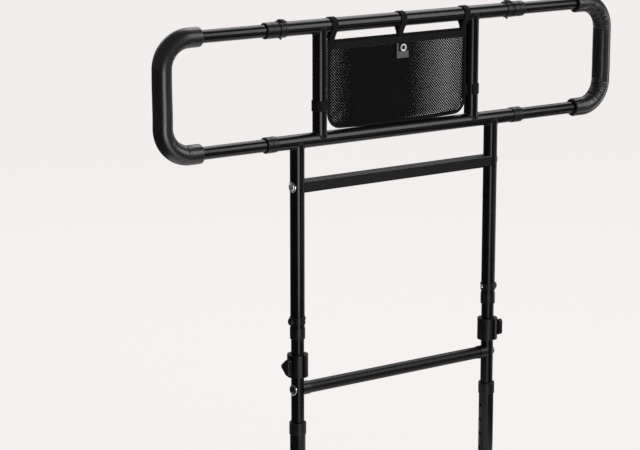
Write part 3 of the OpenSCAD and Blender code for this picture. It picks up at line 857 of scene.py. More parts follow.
def perforation_tree():
    """Cuts a round hole in each diamond of a panel, so that an open mesh is left."""
    t = GrowthTree("perforation", Radius="length", Finish="finish")
    place = t.node("GeometryNodeInputPosition")
    settings = {"domain": "FACE"}
    kept = t.node("GeometryNodeCaptureAttribute", settings, {"Geometry": t.given.out("Geometry")})
    kept_node = kept.socket.node
    kept_node.capture_items.new("VECTOR", "Centre")
    t.feed(kept_node.inputs["Centre"], place)
    settings = {"mode": "FACES"}
    sockets = {"Mesh": kept, "Offset Scale": 0.0, "Individual": True}
    pushed = t.node("GeometryNodeExtrudeMesh", settings, sockets)
    centre = kept.out("Centre")
    arm = t.node("ShaderNodeVectorMath", {"operation": "SUBTRACT"}, {0: place, 1: centre})
    arm = t.node("ShaderNodeVectorMath", {"operation": "NORMALIZE"}, {0: arm})
    arm = t.node("ShaderNodeVectorMath", {"operation": "SCALE"}, {0: arm, "Scale": t.given.out("Radius")})
    rim = t.node("ShaderNodeVectorMath", {"operation": "ADD"}, {0: centre, 1: arm})
    sockets = {"Geometry": pushed, "Selection": pushed.out("Top"), "Position": rim}
    opened = t.node("GeometryNodeSetPosition", {}, sockets)
    settings = {"domain": "FACE", "mode": "ALL"}
    cut = t.node("GeometryNodeDeleteGeometry", settings, {"Geometry": opened, "Selection": pushed.out("Top")})
    return t.end(cut)


made_trees = {}


def tree(name):
    makers = {"bead_row": bead_row_tree, "copies": copies_tree, "perforation": perforation_tree}
    if name not in made_trees:
        made_trees[name] = makers[name]()
    return made_trees[name]


def grown(name, tree_name, mesh, finish_name, sharp=60, **values):
    """Runs a tree on a mesh and returns what grew as a plain piece."""
    group = tree(tree_name)
    seed = bpy.data.objects.new("seed", mesh)
    growth = seed.modifiers.new("growth", "NODES")
    growth.node_group = group
    values["Finish"] = finish(finish_name)
    for item in group.interface.items_tree:
        if item.item_type == "SOCKET" and item.in_out == "INPUT" and item.name in values:
            growth[item.identifier] = values[item.name]
    bpy.context.scene.collection.objects.link(seed)
    graph = bpy.context.evaluated_depsgraph_get()
    result = bpy.data.meshes.new_from_object(seed.evaluated_get(graph))
    bpy.data.objects.remove(seed)
    bpy.data.meshes.remove(mesh)
    if not len(result.polygons):
        raise RuntimeError(f"nothing grew for {name}")
    return plain_piece(name, result, finish_name, sharp)


def path_mesh(paths):
    """Paths as edges; each path is (points, sides that they face, whether it is closed)."""
    points = []
    edges = []
    sides = []
    for line, faces, closed in paths:
        start = len(points)
        points.extend(tuple(p) for p in line)
        sides.extend(c for f in faces for c in Vector(f).normalized())
        edges.extend((start + k, start + k + 1) for k in range(len(line) - 1))
        if closed:
            edges.append((start + len(line) - 1, start))
    mesh = bpy.data.meshes.new("path")
    mesh.from_pydata(points, edges, [])
    facing = mesh.attributes.new("facing", "FLOAT_VECTOR", "POINT")
    facing.data.foreach_set("vector", sides)
    return mesh


def points_mesh(places):
    """Points with the sides that they face."""
    mesh = bpy.data.meshes.new("points")
    mesh.from_pydata([tuple(p) for p, side in places], [], [])
    facing = mesh.attributes.new("facing", "FLOAT_VECTOR", "POINT")
    facing.data.foreach_set("vector", [c for p, side in places for c in side])
    return mesh


def smoothed(points, rounds=2):
    """Cuts the corners of an open line again and again."""
    line = [Vector(p) for p in points]
    for _ in range(rounds):
        cut = [line[0]]
        for a, b in zip(line, line[1:]):
            cut.append(a.lerp(b, 0.25))
            cut.append(a.lerp(b, 0.75))
        line = cut + [line[-1]]
    return line


def ribbon(shell, line, side, width, thick):
    """A flat strap along a line; side is the direction of its width."""
    rings = []
    across = Vector(side).normalized()
    outline = rounded_box(width / 2, thick / 2, thick * 0.45, 2)
    for k, p in enumerate(line):
        ahead = line[min(k + 1, len(line) - 1)] - line[max(k - 1, 0)]
        up = ahead.cross(across).normalized()
        rings.append([p + across * a + up * b for a, b in outline])
    return shell.loft(rings, caps=True)


def sewn(name, rows, pitch, size, slant, unevenness, seed):
    """Stitches along sewing lines; size is a stitch's length, width and height in millimetres."""
    stitch = dict(
        Pitch=pitch,
        Length=size[0] * MM,
        Width=size[1] * MM,
        Height=size[2] * MM,
        Slant=slant,
        Unevenness=unevenness,
        Seed=seed,
    )
    return grown(name, "bead_row", path_mesh(rows), "sewing_thread", 0, **stitch)


# Tubes and welds


WELD_LIFT = 0.2 * MM
NODE_FINISHES = {
    "frame_paint": (
        "upper_rail_tube",
        "lower_rail_tube",
        "left_upright",
        "right_upright",
        "left_upper_leg",
        "right_upper_leg",
        "left_lower_leg",
        "right_lower_leg",
        "left_runner",
        "right_runner",
        "rear_cross_tube",
    ),
    "dull_paint": ("lower_cross_tube",),
    "sliding_paint_x": ("left_extension_tube", "right_extension_tube"),
    "sliding_paint_z": ("left_mid_tube", "right_mid_tube"),
    "black_plastic": ("left_tube_glides", "right_tube_glides", "mid_tube_glides"),
    "spring_steel": ("snap_clips",),
}


def saddle(count, place, face):
    """A closed line just over a joint; place and face give its points and sides from a cosine and a sine."""
    turns = round_turn(count)
    faces = [face(c, s) for c, s in turns]
    line = [place(c, s) + f.normalized() * WELD_LIFT for (c, s), f in zip(turns, faces)]
    return line, faces, True


def upright_weld(x, z, side):
    """Saddle where an upright or leg meets a rail of the same diameter."""

    def place(c, s):
        return Vector((x + TUBE_R * c, RAIL_Y + TUBE_R * s, z + side * TUBE_R * abs(c)))

    def face(c, s):
        return Vector((c, s, 0)) + Vector((0, s, side * abs(c)))

    return saddle(96, place, face)


def leg_weld(x):
    """Saddle where a lower leg meets its runner."""

    def place(c, s):
        return Vector((x + RUNNER_R * c, RAIL_Y + RUNNER_R * s, RUNNER_Z + RUNNER_R * abs(s)))

    def face(c, s):
        return Vector((c, s, 0)) + Vector((c, 0, abs(s)))

    return saddle(96, place, face)


def rear_weld(side):
    """Saddle where the rear cross tube meets a runner."""

    def reach(s):
        return math.sqrt(RUNNER_R ** 2 - (REAR_R * s) ** 2)

    def place(c, s):
        return Vector((side * (LEG_X - reach(s)), REAR_Y + REAR_R * c, RUNNER_Z + REAR_R * s))

    def face(c, s):
        return Vector((0, c, s)) + Vector((-side * reach(s), 0, REAR_R * s)).normalized()

    return saddle(80, place, face)


class BEDRAIL_OT_tubes(bpy.types.Operator):
    """Paints the tubes and lays the weld beads at their joints"""

    bl_idname = "bedrail.tubes"
    bl_label = "Tubes and welds"

    def execute(self, context):
        sizes = context.scene.rail_frame_sizes
        for finish_name, nodes in NODE_FINISHES.items():
            for node in nodes:
                dress_node(node, finish_name)
        bead = dict(
            Pitch=sizes.weld_pitch,
            Length=sizes.weld_pitch * 2.1,
            Width=sizes.weld_width,
            Height=sizes.weld_height,
            Slant=0.0,
            Unevenness=0.12,
        )
        rail_joints = []
        for x in (-UPRIGHT_X, UPRIGHT_X):
            rail_joints.append(upright_weld(x, LOWER_Z, 1))
            rail_joints.append(upright_weld(x, UPPER_Z, -1))
        for x in (-LEG_X, LEG_X):
            rail_joints.append(upright_weld(x, LOWER_Z, -1))
        base_joints = [leg_weld(-LEG_X), leg_weld(LEG_X), rear_weld(-1), rear_weld(1)]
        rows = (("rail_frame_welds", rail_joints, "upper_frame", 3), ("base_welds", base_joints, "base", 5))
        for name, joints, body, seed in rows:
            welds = grown(name, "bead_row", path_mesh(joints), "frame_paint", 0, Seed=seed, **bead)
            settle(welds, body, "frame_paint")
        return {"FINISHED"}


class BEDRAIL_OT_crossbars(bpy.types.Operator):
    """Builds the coped crossbar with its plugs, and the plugs of the lower cross tube"""

    bl_idname = "bedrail.crossbars"
    bl_label = "Crossbars and plugs"

    def execute(self, context):
        edge = context.scene.rail_frame_sizes.eased_edge
        at = middle("flat_crossbar")
        reach = half("flat_crossbar")
        h = reach.z / MM
        t = reach.y / MM
        corner = 2.6
        wall = 1.2
        cope_gap = 0.1 * MM
        outer = rounded_box(t, h, corner, 5)
        inner = rounded_box(t - wall, h - wall, corner - wall, 5)
        rings = []
        coped = (TUBE_R + cope_gap) ** 2
        for outline, ways in ((outer, (-1, 0, 1)), (inner, (1, 0, -1))):
            for way in ways:
                ends = [LEG_X - math.sqrt(coped - (a * MM) ** 2) for a, b in outline]
                rings.append([at + Vector((way * x, a * MM, b * MM)) for x, (a, b) in zip(ends, outline)])
        bar = Shell().loft(rings, around=True).piece("flat_crossbar_tube", "frame_paint", 50)
        settle(bar, "upper_frame", "frame_paint", "flat_crossbar")
        plugs = eased_copy("crossbar_plug_faces", ["crossbar_end_plugs"], edge * 0.5, "bright_steel")
        settle(plugs, "upper_frame", "bright_steel", "crossbar_end_plugs")
        plugs = eased_copy("cross_tube_plug_ends", ["cross_tube_plugs"], edge * 0.7, "black_plastic")
        settle(plugs, "mid_frame", "black_plastic", "cross_tube_plugs")
        return {"FINISHED"}


# Collars


RAIL_COLLARS = (("upper_rail_collars", UPPER_Z, 27.0), ("lower_rail_collars", LOWER_Z, 23.0))
RAIL_COLLAR_GAP = 1.7
LEG_GROOVE = 3.0


def collar_outline(length, out, wide, narrow, groove, gap=0.35):
    """Section of an end collar from its open end at 0; groove is the place of the line behind its mouth."""
    return rounded(
        [
            (0, narrow, 0.5),
            (0, out, 1.1),
            (groove - 0.7, out, 0.25),
            (groove - 0.35, out - 0.5, 0.2),
            (groove + 0.35, out - 0.5, 0.2),
            (groove + 0.7, out, 0.25),
            (length - gap, out, 0.8),
            (length - gap, wide, 0.15),
            (COLLAR_LIP, wide, 0),
            (COLLAR_LIP, narrow, 0),
        ],
        4,
    )


class BEDRAIL_OT_collars(bpy.types.Operator):
    """Turns the end collars of the rails, the upper legs and the lower legs"""

    bl_idname = "bedrail.collars"
    bl_label = "End collars"

    def execute(self, context):
        tube = TUBE_R / MM + TUBE_FIT
        mouth = EXT_R / MM + SLIDE_FIT
        for name, z, length in RAIL_COLLARS:
            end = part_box(name)[1].x
            outline = collar_outline(length, half(name).z / MM, tube, mouth, length * 0.46, RAIL_COLLAR_GAP)
            shell = Shell()
            for side in (-1, 1):
                shell.turned(outline, (-side, 0, 0), (side * end, RAIL_Y, z))
            moulded(shell, name + "_moulded", "upper_frame", name)
        low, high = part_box("leg_end_collars")
        mid_r = half("right_mid_tube").x / MM + SLIDE_FIT
        out = half("leg_end_collars").y / MM
        outline = collar_outline((high.z - low.z) / MM, out, tube, mid_r, LEG_GROOVE)
        shell = Shell()
        for side in (-1, 1):
            shell.turned(outline, (0, 0, 1), (side * LEG_X, RAIL_Y, low.z))
        moulded(shell, "leg_end_collars_moulded", "upper_frame", "leg_end_collars")
        socket = RUNNER_R / MM + TUBE_FIT
        for side, name in ((-1, "left_socket_collar"), (1, "right_socket_collar")):
            low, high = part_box(name)
            outline = collar_outline((high.z - low.z) / MM, half(name).x / MM, socket, mid_r, LEG_GROOVE)
            shell = Shell().turned(outline, (0, 0, -1), (side * LEG_X, RAIL_Y, high.z))
            moulded(shell, name + "_moulded", "base", name)
        return {"FINISHED"}


# Locks


# Housings of the press buttons, as (rise, half length, half width) in millimetres
HOUSING_TOP = ((2.5, 6.4, 5.6), (2.9, 6.0, 5.3), (3.0, 5.4, 4.9), (3.0, 4.4, 4.4), (1.0, 4.35, 4.35))
RAIL_HOUSING = (
    (-1.2, 12.4, 8.6),
    (0.1, 12.4, 8.6),
    (0.4, 11.2, 7.9),
    (0.9, 9.2, 6.9),
    (1.7, 7.2, 6.0),
    *HOUSING_TOP,
)
LEG_HOUSING = ((-1.2, 7.3, 6.3), (0.1, 7.2, 6.2), (1.6, 6.8, 5.9), *HOUSING_TOP)

# Small sizes of the locks, in millimetres
LEG_RING_TRIM = 1.8
LEG_SCREW_RISE = 1.4
BUTTON_R = 4.0
BUTTON_DROP = 1.1
BUTTON_ROOM = 1.4
PEG_START = 11.8
PEG_R = 2.25


def lock_ring_shell(centre, along, up, housing, trim):
    """A ring round a tube with the button's housing on one side; sizes in millimetres."""
    tube = TUBE_R / MM + TUBE_FIT
    out = half("right_rail_lock_ring").y / MM
    width = half("right_rail_lock_ring").x / MM
    groove = out - 0.45
    band = rounded(
        [
            (trim - width, tube, 0.2),
            (trim - width, out, 1.0),
            (3.2 - width, out, 0.3),
            (3.6 - width, groove, 0.25),
            (width - 3.6, groove, 0.25),
            (width - 3.2, out, 0.3),
            (width, out, 1.0),
            (width, tube, 0.2),
        ],
        3,
    )
    shell = Shell().turned(band, along, centre)
    across = Vector(along).cross(Vector(up)).normalized()
    rings = []
    for rise, long_way, short_way in housing:
        ring = []
        for c, s in round_turn(48):
            flat = Vector(along) * (long_way * c) + across * (short_way * s)
            round_off = out - math.sqrt(max(0.0, out ** 2 - (short_way * s) ** 2))
            lift = out - 0.1 + rise - round_off * max(0.0, 1 - rise / 2.6)
            ring.append(Vector(centre) + (flat + Vector(up) * lift) * MM)
        rings.append(ring)
    return shell.loft(rings)


def button_shell(centre, up):
    """A domed press button with a shallow dish; its short foot leaves room for the spring leaf."""
    low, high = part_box("right_rail_lock_button")
    base = (low.z - UPPER_Z) / MM + BUTTON_ROOM
    top = (high.z - UPPER_Z) / MM - BUTTON_DROP
    outline = rounded(
        [
            (base, 0, 0),
            (base, BUTTON_R, 0.2),
            (top - 0.55, BUTTON_R, 0.9),
            (top, 2.6, 0.7),
            (top - 0.25, 0, 0),
        ],
        4,
    )
    return Shell().turned(outline, up, centre, 40)


def peg_outline(start, top, r):
    """A peg with a ball head."""
    points = [(start, 0), (start, r)]
    for k in range(9):
        angle = math.pi / 2 * k / 8
        points.append((top - r + r * math.sin(angle), r * math.cos(angle)))
    return points


def screw_shell(shell, centre, up):
    """A dome-head screw with a small recess, seated on a lock ring."""
    out = half("right_rail_lock_ring").y / MM
    start = TUBE_R / MM - 1.0
    seat = out - 0.2
    head = out + 2.6
    outline = rounded(
        [
            (start, 0, 0),
            (start, 2.1, 0),
            (seat, 2.1, 0),
            (seat, 3.3, 0.3),
            (head - 1.5, 3.3, 1.2),
            (head, 2.2, 1.5),
            (head, 0.7, 0.1),
            (head - 0.5, 0.35, 0),
            (head - 0.5, 0, 0),
        ],
        4,
    )
    return shell.turned(outline, up, centre, 32)


class BEDRAIL_OT_locks(bpy.types.Operator):
    """Moulds the lock rings, their buttons, pegs and screws"""

    bl_idname = "bedrail.locks"
    bl_label = "Button locks"

    def execute(self, context):
        rail_x = middle("right_rail_lock_ring").x
        leg_z = middle("right_leg_lock_ring").z
        pegs = Shell()
        screws = Shell()
        reach = (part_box("rail_ring_pegs")[0].z - UPPER_Z) / -MM
        for side, word in ((-1, "left"), (1, "right")):
            rail = Vector((side * rail_x, RAIL_Y, UPPER_Z))
            leg = Vector((side * LEG_X, RAIL_Y, leg_z))
            rows = (
                ("_rail", rail, (1, 0, 0), (0, 0, 1), RAIL_HOUSING, 0.0),
                ("_leg", leg, (0, 0, 1), (side, 0, 0), LEG_HOUSING, LEG_RING_TRIM),
            )
            for kind, at, along, up, housing, trim in rows:
                name = word + kind
                ring = lock_ring_shell(at, along, up, housing, trim)
                moulded(ring, name + "_lock_band", "upper_frame", name + "_lock_ring")
                button = button_shell(at, up)
                moulded(button, name + "_button_cap", name + "_button", name + "_lock_button")
            pegs.turned(peg_outline(PEG_START, reach, PEG_R), (0, 0, -1), rail, 28)
            screw_shell(screws, leg + Vector((0, 0, LEG_SCREW_RISE * MM)), (-side, 0, 0))
        moulded(pegs, "rail_ring_ball_pegs", "upper_frame", "rail_ring_pegs")
        heads = screws.piece("leg_ring_pan_screws", "bright_steel", 40)
        settle(heads, "upper_frame", "bright_steel", "leg_ring_screws")
        for node in ("rail_lock_pins", "leg_lock_pins"):
            dress_node(node, "spring_steel")
        return {"FINISHED"}


# Bolts


# Section of a saddle washer, as (distance from the bolt, rise over the tube) in millimetres
WASHER_SECTION = ((5.5, 0.02), (5.5, 0.6), (9.1, 0.75), (9.6, 0.45), (9.6, 0.02))


def saddle_washers(name, z, tube_r):
    """A thin bright washer bent round each leg, under the head of a bolt."""
    shell = Shell()
    for side in (-1, 1):
        rings = []
        for r, rise in WASHER_SECTION:
            reach = tube_r + rise * MM
            ring = []
            for c, s in round_turn(48):
                turn = r * MM * c / tube_r
                x = side * (LEG_X + reach * math.cos(turn))
                ring.append(Vector((x, RAIL_Y + reach * math.sin(turn), z + r * MM * s)))
            rings.append(ring)
        shell.loft(rings, around=True)
    return shell.piece(name, "bright_steel", 35)


def bolt_shape(name, shank_r, head_r):
    """A button-head bolt along +X with a hexagon socket; its seat is at the origin."""
    hexagon = 2.5
    socket_mouth = 3.5
    steps = 48
    angles = [2 * math.pi * k / steps for k in range(steps)]

    def circle(x, r):
        return [Vector((x, r * math.cos(a), r * math.sin(a))) * MM for a in angles]

    def six_sided(x, flat):
        ring = []
        for a in angles:
            turn = (a % (math.pi / 3)) - math.pi / 6
            r = flat / math.cos(turn)
            ring.append(Vector((x, r * math.cos(a), r * math.sin(a))) * MM)
        return ring

    section = [
        (-BOLT_SHANK, shank_r * 0.8),
        (0.6 - BOLT_SHANK, shank_r),
        (-0.02, shank_r),
        (0, shank_r + 0.05),
        (0, head_r - 0.5),
        (0.15, head_r - 0.12),
        (0.5, head_r),
    ]
    dome = (head_r ** 2 + BOLT_HEAD ** 2) / (2 * BOLT_HEAD)
    tilt_out = 0.97 * math.asin((head_r - 0.05) / dome) if dome > head_r else 0.97 * math.pi / 2
    tilt_in = math.asin(socket_mouth / dome)
    for k in range(8):
        tilt = tilt_out + (tilt_in - tilt_out) * k / 7
        section.append((max(0.8, BOLT_HEAD - dome + dome * math.cos(tilt)), dome * math.sin(tilt)))
    rings = [circle(x, r) for x, r in section]
    rings += [six_sided(BOLT_HEAD - 0.55, hexagon + 0.35), six_sided(BOLT_HEAD - 0.7, hexagon)]
    rings += [six_sided(1.3, hexagon), circle(1.0, 0.6)]
    return Shell().loft(rings, caps=True).piece(name, "bright_steel", 35)


class BEDRAIL_OT_bolts(bpy.types.Operator):
    """Sets the button-head bolts of the crossbar and of the lower cross tube"""

    bl_idname = "bedrail.bolts"
    bl_label = "Bolts"

    def execute(self, context):
        mid_r = half("right_mid_tube").x
        rows = (
            ("crossbar_bolts", "bright_steel", "upper_frame", "bright_steel", 3.0, 7.2, TUBE_R),
            ("cross_tube_bolts", "black_oxide", "mid_frame", "black_steel", 4.0, 7.9, mid_r),
        )
        for node, finish_name, body, slot, shank_r, head_r, tube_r in rows:
            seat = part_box(node)[1].x - BOLT_HEAD * MM
            shape = bolt_shape(node + "_shape", shank_r, head_r)
            z = middle(node).z
            places = [(Vector((side * seat, RAIL_Y, z)), (side, 0, 0)) for side in (-1, 1)]
            piece = grown(node + "_button_heads", "copies", points_mesh(places), finish_name, 35, Copy=shape)
            bpy.data.objects.remove(shape)
            settle(piece, body, slot, node)
            settle(saddle_washers(node + "_washers", z, tube_r), body, "bright_steel")
        return {"FINISHED"}


# Height stops


# Sizes of the three-cornered knobs, in millimetres
KNOB_THICK = 8.5
KNOB_CORNER = 5.0
KNOB_SKIRT = 1.1


def knob_rings(side, low, high):
    """Outlines of the three-cornered knob from its seat out: rounded, flat-sided and a little domed."""
    z = (low.z + high.z) / 2
    outer = max(abs(low.x), abs(high.x))
    y_half = (high.y - low.y) / 2 / MM - KNOB_CORNER
    z_half = (high.z - low.z) / 2 / MM - KNOB_CORNER
    centres = [Vector((y_half, 0)), Vector((-y_half, z_half)), Vector((-y_half, -z_half))]
    lean = math.degrees(math.atan2(z_half, 2 * y_half))
    arcs = [(lean - 90, 90 - lean), (90 - lean, 180), (180, 270 + lean)]

    def ring(x, inset, shrink=1.0):
        points = []
        out = side * (outer - (KNOB_THICK - x) * MM)
        for c, (start, end) in zip(centres, arcs):
            for k in range(9):
                a = math.radians(start + (end - start) * k / 8)
                p = (c + Vector((math.cos(a), math.sin(a))) * (KNOB_CORNER - inset)) * shrink
                points.append(Vector((out, RAIL_Y + p.x * MM, z + p.y * MM)))
        return points

    rings = [ring(0.0, 1.6, 0.5), ring(0.0, 1.6), ring(-KNOB_SKIRT, 1.5), ring(-KNOB_SKIRT, 0.9)]
    rings += [ring(-0.9, 0.4), ring(-0.4, 0.0)]
    rings += [ring(3.4, 0.0), ring(3.7, 0.35), ring(4.3, 0.35), ring(4.6, 0.0)]
    for k in range(1, 6):
        a = math.pi / 2 * k / 5
        rings.append(ring(KNOB_THICK - 2.4 + 2.1 * math.sin(a), 2.2 * (1 - math.cos(a))))
    rings += [ring(KNOB_THICK - 0.2, 3.2), ring(KNOB_THICK - 0.12, 4.2)]
    rings += [ring(KNOB_THICK - 0.25, 4.6, 0.7), ring(KNOB_THICK - 0.5, 4.7, 0.4)]
    return rings


class BEDRAIL_OT_stops(bpy.types.Operator):
    """Moulds the split stop collars, their bushes and the three-cornered knobs"""

    bl_idname = "bedrail.stops"
    bl_label = "Height stops"

    def execute(self, context):
        sizes = context.scene.rail_frame_sizes
        for side, word in ((-1, "left"), (1, "right")):
            name = word + "_stop_collar"
            piece = eased_copy(name + "_moulded", [name], sizes.eased_edge, "black_plastic", 4)
            settle(piece, "mid_frame", "black_plastic", name)
            name = word + "_stop_knob"
            low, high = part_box(name)
            shell = Shell().loft(knob_rings(side, low, high), caps=True)
            inner = min(abs(low.x), abs(high.x)) / MM
            outer = max(abs(low.x), abs(high.x)) / MM
            stud = [(inner, 0), (inner, 2.4), (inner + 0.6, 3.0), (outer - 6, 3.0), (outer - 6, 0)]
            shell.turned(stud, (side, 0, 0), (0, RAIL_Y, (low.z + high.z) / 2), 28)
            moulded(shell, name + "_grip", word + "_knob", name)
        dress_node("stop_collar_bushes", "brass")
        return {"FINISHED"}


# Base


class BEDRAIL_OT_base(bpy.types.Operator):
    """Shapes the runners' end caps and the rubber feet"""

    bl_idname = "bedrail.base"
    bl_label = "End caps and feet"

    def execute(self, context):
        low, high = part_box("runner_end_caps")
        r = RUNNER_R / MM
        outline = rounded(
            [
                (0.0, 0, 0),
                (0.0, r - 3.2, 1.6),
                (1.0, r - 0.1, 1.0),
                (2.8, r, 0.3),
                (2.95, r - 1.6, 0),
                (18.0, r - 1.7, 0.8),
                (18.0, 0, 0),
            ],
            4,
        )
        shell = Shell()
        for side in (-1, 1):
            for end, way in ((low.y, 1), (high.y, -1)):
                shell.turned(outline, (0, way, 0), (side * LEG_X, end, RUNNER_Z))
        moulded(shell, "runner_end_caps_moulded", "base", "runner_end_caps", 45)
        feet = eased_copy("rubber_feet_moulded", ["rubber_feet"], 1.3 * MM, "foot_rubber", 3)
        settle(feet, "base", "foot_rubber", "rubber_feet")
        return {"FINISHED"}


# Grips


def grip_path(step):
    """Line of a right-hand grip as (place, hand gap's side, share of bending, distance), and its length."""
    r = bpy.context.scene.rail_grip_sizes.bend_radius
    tail = GRIP_X - r - GRIP_END_X
    arc = r * math.pi / 2
    rise = UPPER_Z - LOWER_Z - 2 * r
    whole = 2 * tail + 2 * arc + rise
    count = int(whole / step) + 1
    found = []
    for k in range(count + 1):
        s = whole * k / count
        if s <= tail:
            place = Vector((GRIP_END_X + s, 0, LOWER_Z))
            ahead = Vector((1, 0, 0))
        elif s <= tail + arc:
            a = (s - tail) / r
            place = Vector((GRIP_X - r + r * math.sin(a), 0, LOWER_Z + r - r * math.cos(a)))
            ahead = Vector((math.cos(a), 0, math.sin(a)))
        elif s <= tail + arc + rise:
            place = Vector((GRIP_X, 0, LOWER_Z + r + s - tail - arc))
            ahead = Vector((0, 0, 1))
        elif s <= tail + 2 * arc + rise:
            a = (s - tail - arc - rise) / r
            place = Vector((GRIP_X - r + r * math.cos(a), 0, UPPER_Z - r + r * math.sin(a)))
            ahead = Vector((-math.sin(a), 0, math.cos(a)))
        else:
            place = Vector((GRIP_X - r - (s - tail - 2 * arc - rise), 0, UPPER_Z))
            ahead = Vector((-1, 0, 0))
        near = min(abs(s - tail - arc / 2), abs(s - tail - arc * 1.5 - rise))
        bend = 1 - min(1.0, max(0.0, (near - arc * 0.4) / (arc * 0.26)))
        found.append((place, Vector((-ahead.z, 0, ahead.x)), bend * bend * (3 - 2 * bend), s))
    return found, whole


def crease_rows(seed, whole, spread):
    """Creases of a sleeve: (distance, width, depth share, lean, middle angle, spread)."""
    sizes = bpy.context.scene.rail_grip_sizes
    dice = random.Random(seed)
    rows = []
    margin = 6 * MM
    s = margin
    while s < whole - margin:
        rows.append((s, dice.uniform(0.8, 1.15) * MM, dice.uniform(0.4, 1.0), dice.uniform(-1.2, 1.2) * MM,
                     dice.uniform(-0.25, 0.25), spread * dice.uniform(0.75, 1.25)))
        s += sizes.crease_pitch * dice.uniform(0.6, 1.45)
    return rows


def sleeve_piece(word, side, seed):
    """A padded leather sleeve, creased on the inner side of its bends, with a sewn seam."""
    sizes = bpy.context.scene.rail_grip_sizes
    path, whole = grip_path(0.8 * MM)
    rows = crease_rows(seed, whole, 1.15 if side < 0 else 1.6)
    around = 72
    dice = random.Random(seed + 40)
    swell = []
    for _ in range(16):
        swell.append((dice.uniform(0.0, whole), dice.uniform(0.0, 6.28), dice.uniform(0.1, 0.22) * MM))
    swell_width = 17 * MM
    seam_at = math.radians(34)
    seam_depth = 0.55 * MM
    seam_width = 0.9 * MM

    def radius(s, bend, angle):
        inner = math.cos(angle)
        r = GRIP_R - 0.15 * MM
        fold_and_shade = 0.0
        if bend > 0.01 and inner > -0.35:
            for at, width, share, lean, mid, spread in rows:
                off = s - at - lean * math.sin(angle)
                if abs(off) < 4.2 * width:
                    gap = (angle - mid + math.pi) % (2 * math.pi) - math.pi
                    hold = max(0.0, 1 - (gap / spread) ** 2)
                    fold_and_shade += share * hold * math.exp(-(off / width) ** 2)
            fold_and_shade = min(1.0, fold_and_shade) * bend
            r += 0.35 * MM * bend * max(0.0, inner)
        for at, turn, lift in swell:
            off = (s - at) / swell_width
            if abs(off) < 2.5:
                r += lift * math.exp(-off * off) * math.cos(angle - turn)
        r -= fold_and_shade * sizes.crease_depth
        seam = (angle - seam_at + math.pi) % (2 * math.pi) - math.pi
        r -= seam_depth * math.exp(-(seam * GRIP_R / seam_width) ** 2)
        return min(r, GRIP_R + 0.3 * MM), fold_and_shade

    def place(node, r, angle):
        point, inward = node[:2]
        p = point + inward * (r * math.cos(angle)) + Vector((0, 1, 0)) * (r * math.sin(angle))
        return Vector((side * p.x, RAIL_Y + p.y, p.z))

    def circle(node, r):
        return [place(node, r, 2 * math.pi * j / around) for j in range(around)]

    rings = []
    marks = []
    cut = sizes.end_rounding
    for node in path:
        bend, s = node[2:]
        edge = min(s, whole - s)
        ring = []
        for j in range(around):
            angle = 2 * math.pi * j / around
            r, fold_and_shade = radius(s, bend, angle)
            if edge < cut:
                r -= cut - math.sqrt(max(0.0, cut * cut - (cut - edge) ** 2))
            ring.append(place(node, r, angle))
            # the crease share of each point is kept as a mark for the painted shade in the creases
            marks.append(min(1.0, fold_and_shade))
        rings.append(ring)
    bore = EXT_R + 0.06 * MM
    mouth = (GRIP_R - cut - 1.2 * MM, bore + 0.5 * MM, bore)
    lining = [circle(path[-1], r) for r in mouth]
    lining += [circle(node, bore) for node in path[-8:0:-8]]
    lining += [circle(path[0], r) for r in reversed(mouth)]
    marks += [0.0] * (around * len(lining))
    shell = Shell().loft(rings + lining, around=True, marks=marks)
    sleeve = shell.piece(word + "_leather_grip", "grip_leather", 55)
    line = []
    faces = []
    for node in path[6:-6:3]:
        bend, s = node[2:]
        r, fold_and_shade = radius(s, bend, seam_at)
        line.append(place(node, r + 0.25 * MM, seam_at))
        faces.append(line[-1] - place(node, 0, seam_at))
    return sleeve, (line, faces, False)


class BEDRAIL_OT_grips(bpy.types.Operator):
    """Draws the padded leather sleeves over the U tubes and sews their seams"""

    bl_idname = "bedrail.grips"
    bl_label = "Leather grips"

    def execute(self, context):
        sizes = context.scene.rail_grip_sizes
        for side, word, seed in ((-1, "left", 11), (1, "right", 23)):
            sleeve, seam = sleeve_piece(word, side, seed)
            settle(sleeve, word + "_extension", "grip_leather", word + "_grip")
            slant = math.radians(62)
            size = (3.9, 0.75, 0.6)
            thread = sewn(word + "_grip_stitches", [seam], sizes.stitch_pitch, size, slant, 0.05, seed)
            settle(thread, word + "_extension", "grip_leather")
        return {"FINISHED"}


# Pouch


POUCH_H = POUCH_HIGH.z - POUCH_LOW.z
SEAM_Y = POUCH_HIGH.y - 2.3 * MM
PANEL_COLUMNS = 65
PANEL_ROWS = 33
LOWEST = 0.4 * MM
EDGE_GAP = 1.3 * MM
FARTHEST_MOVE = 4 * MM
MESH_MARGIN = 3.0 * MM
CLOTH_SHARE = 0.79
STITCH = (2.1, 0.5, 0.4)
STRAP_STITCH = (1.9, 0.5, 0.4)
CLOTH_SETTINGS = {
    "quality": 7,
    "mass": 0.08,
    "tension_stiffness": 12,
    "compression_stiffness": 8,
    "shear_stiffness": 4,
    "bending_stiffness": 0.35,
    "air_damping": 2.5,
    "vertex_group_mass": "sewn",
    "shrink_min": 0.002,
    "use_pressure": True,
    "uniform_pressure_force": -0.03,
}


def pouch_half_width(z):
    """Half width of the pouch at a height over its bottom, with its round lower corners."""
    sizes = bpy.context.scene.rail_pouch_sizes
    corner = sizes.corner
    whole = (POUCH_HIGH.x - POUCH_LOW.x) / 2 + sizes.spread
    if z >= corner:
        return whole
    return whole - corner + math.sqrt(max(0.0, corner ** 2 - (corner - z) ** 2))


def bottom_drop(share, up):
    """How far the cloth hangs through, for a share across and a share up."""
    return bpy.context.scene.rail_pouch_sizes.sag * (1 - share * share) * (1 - up) ** 2


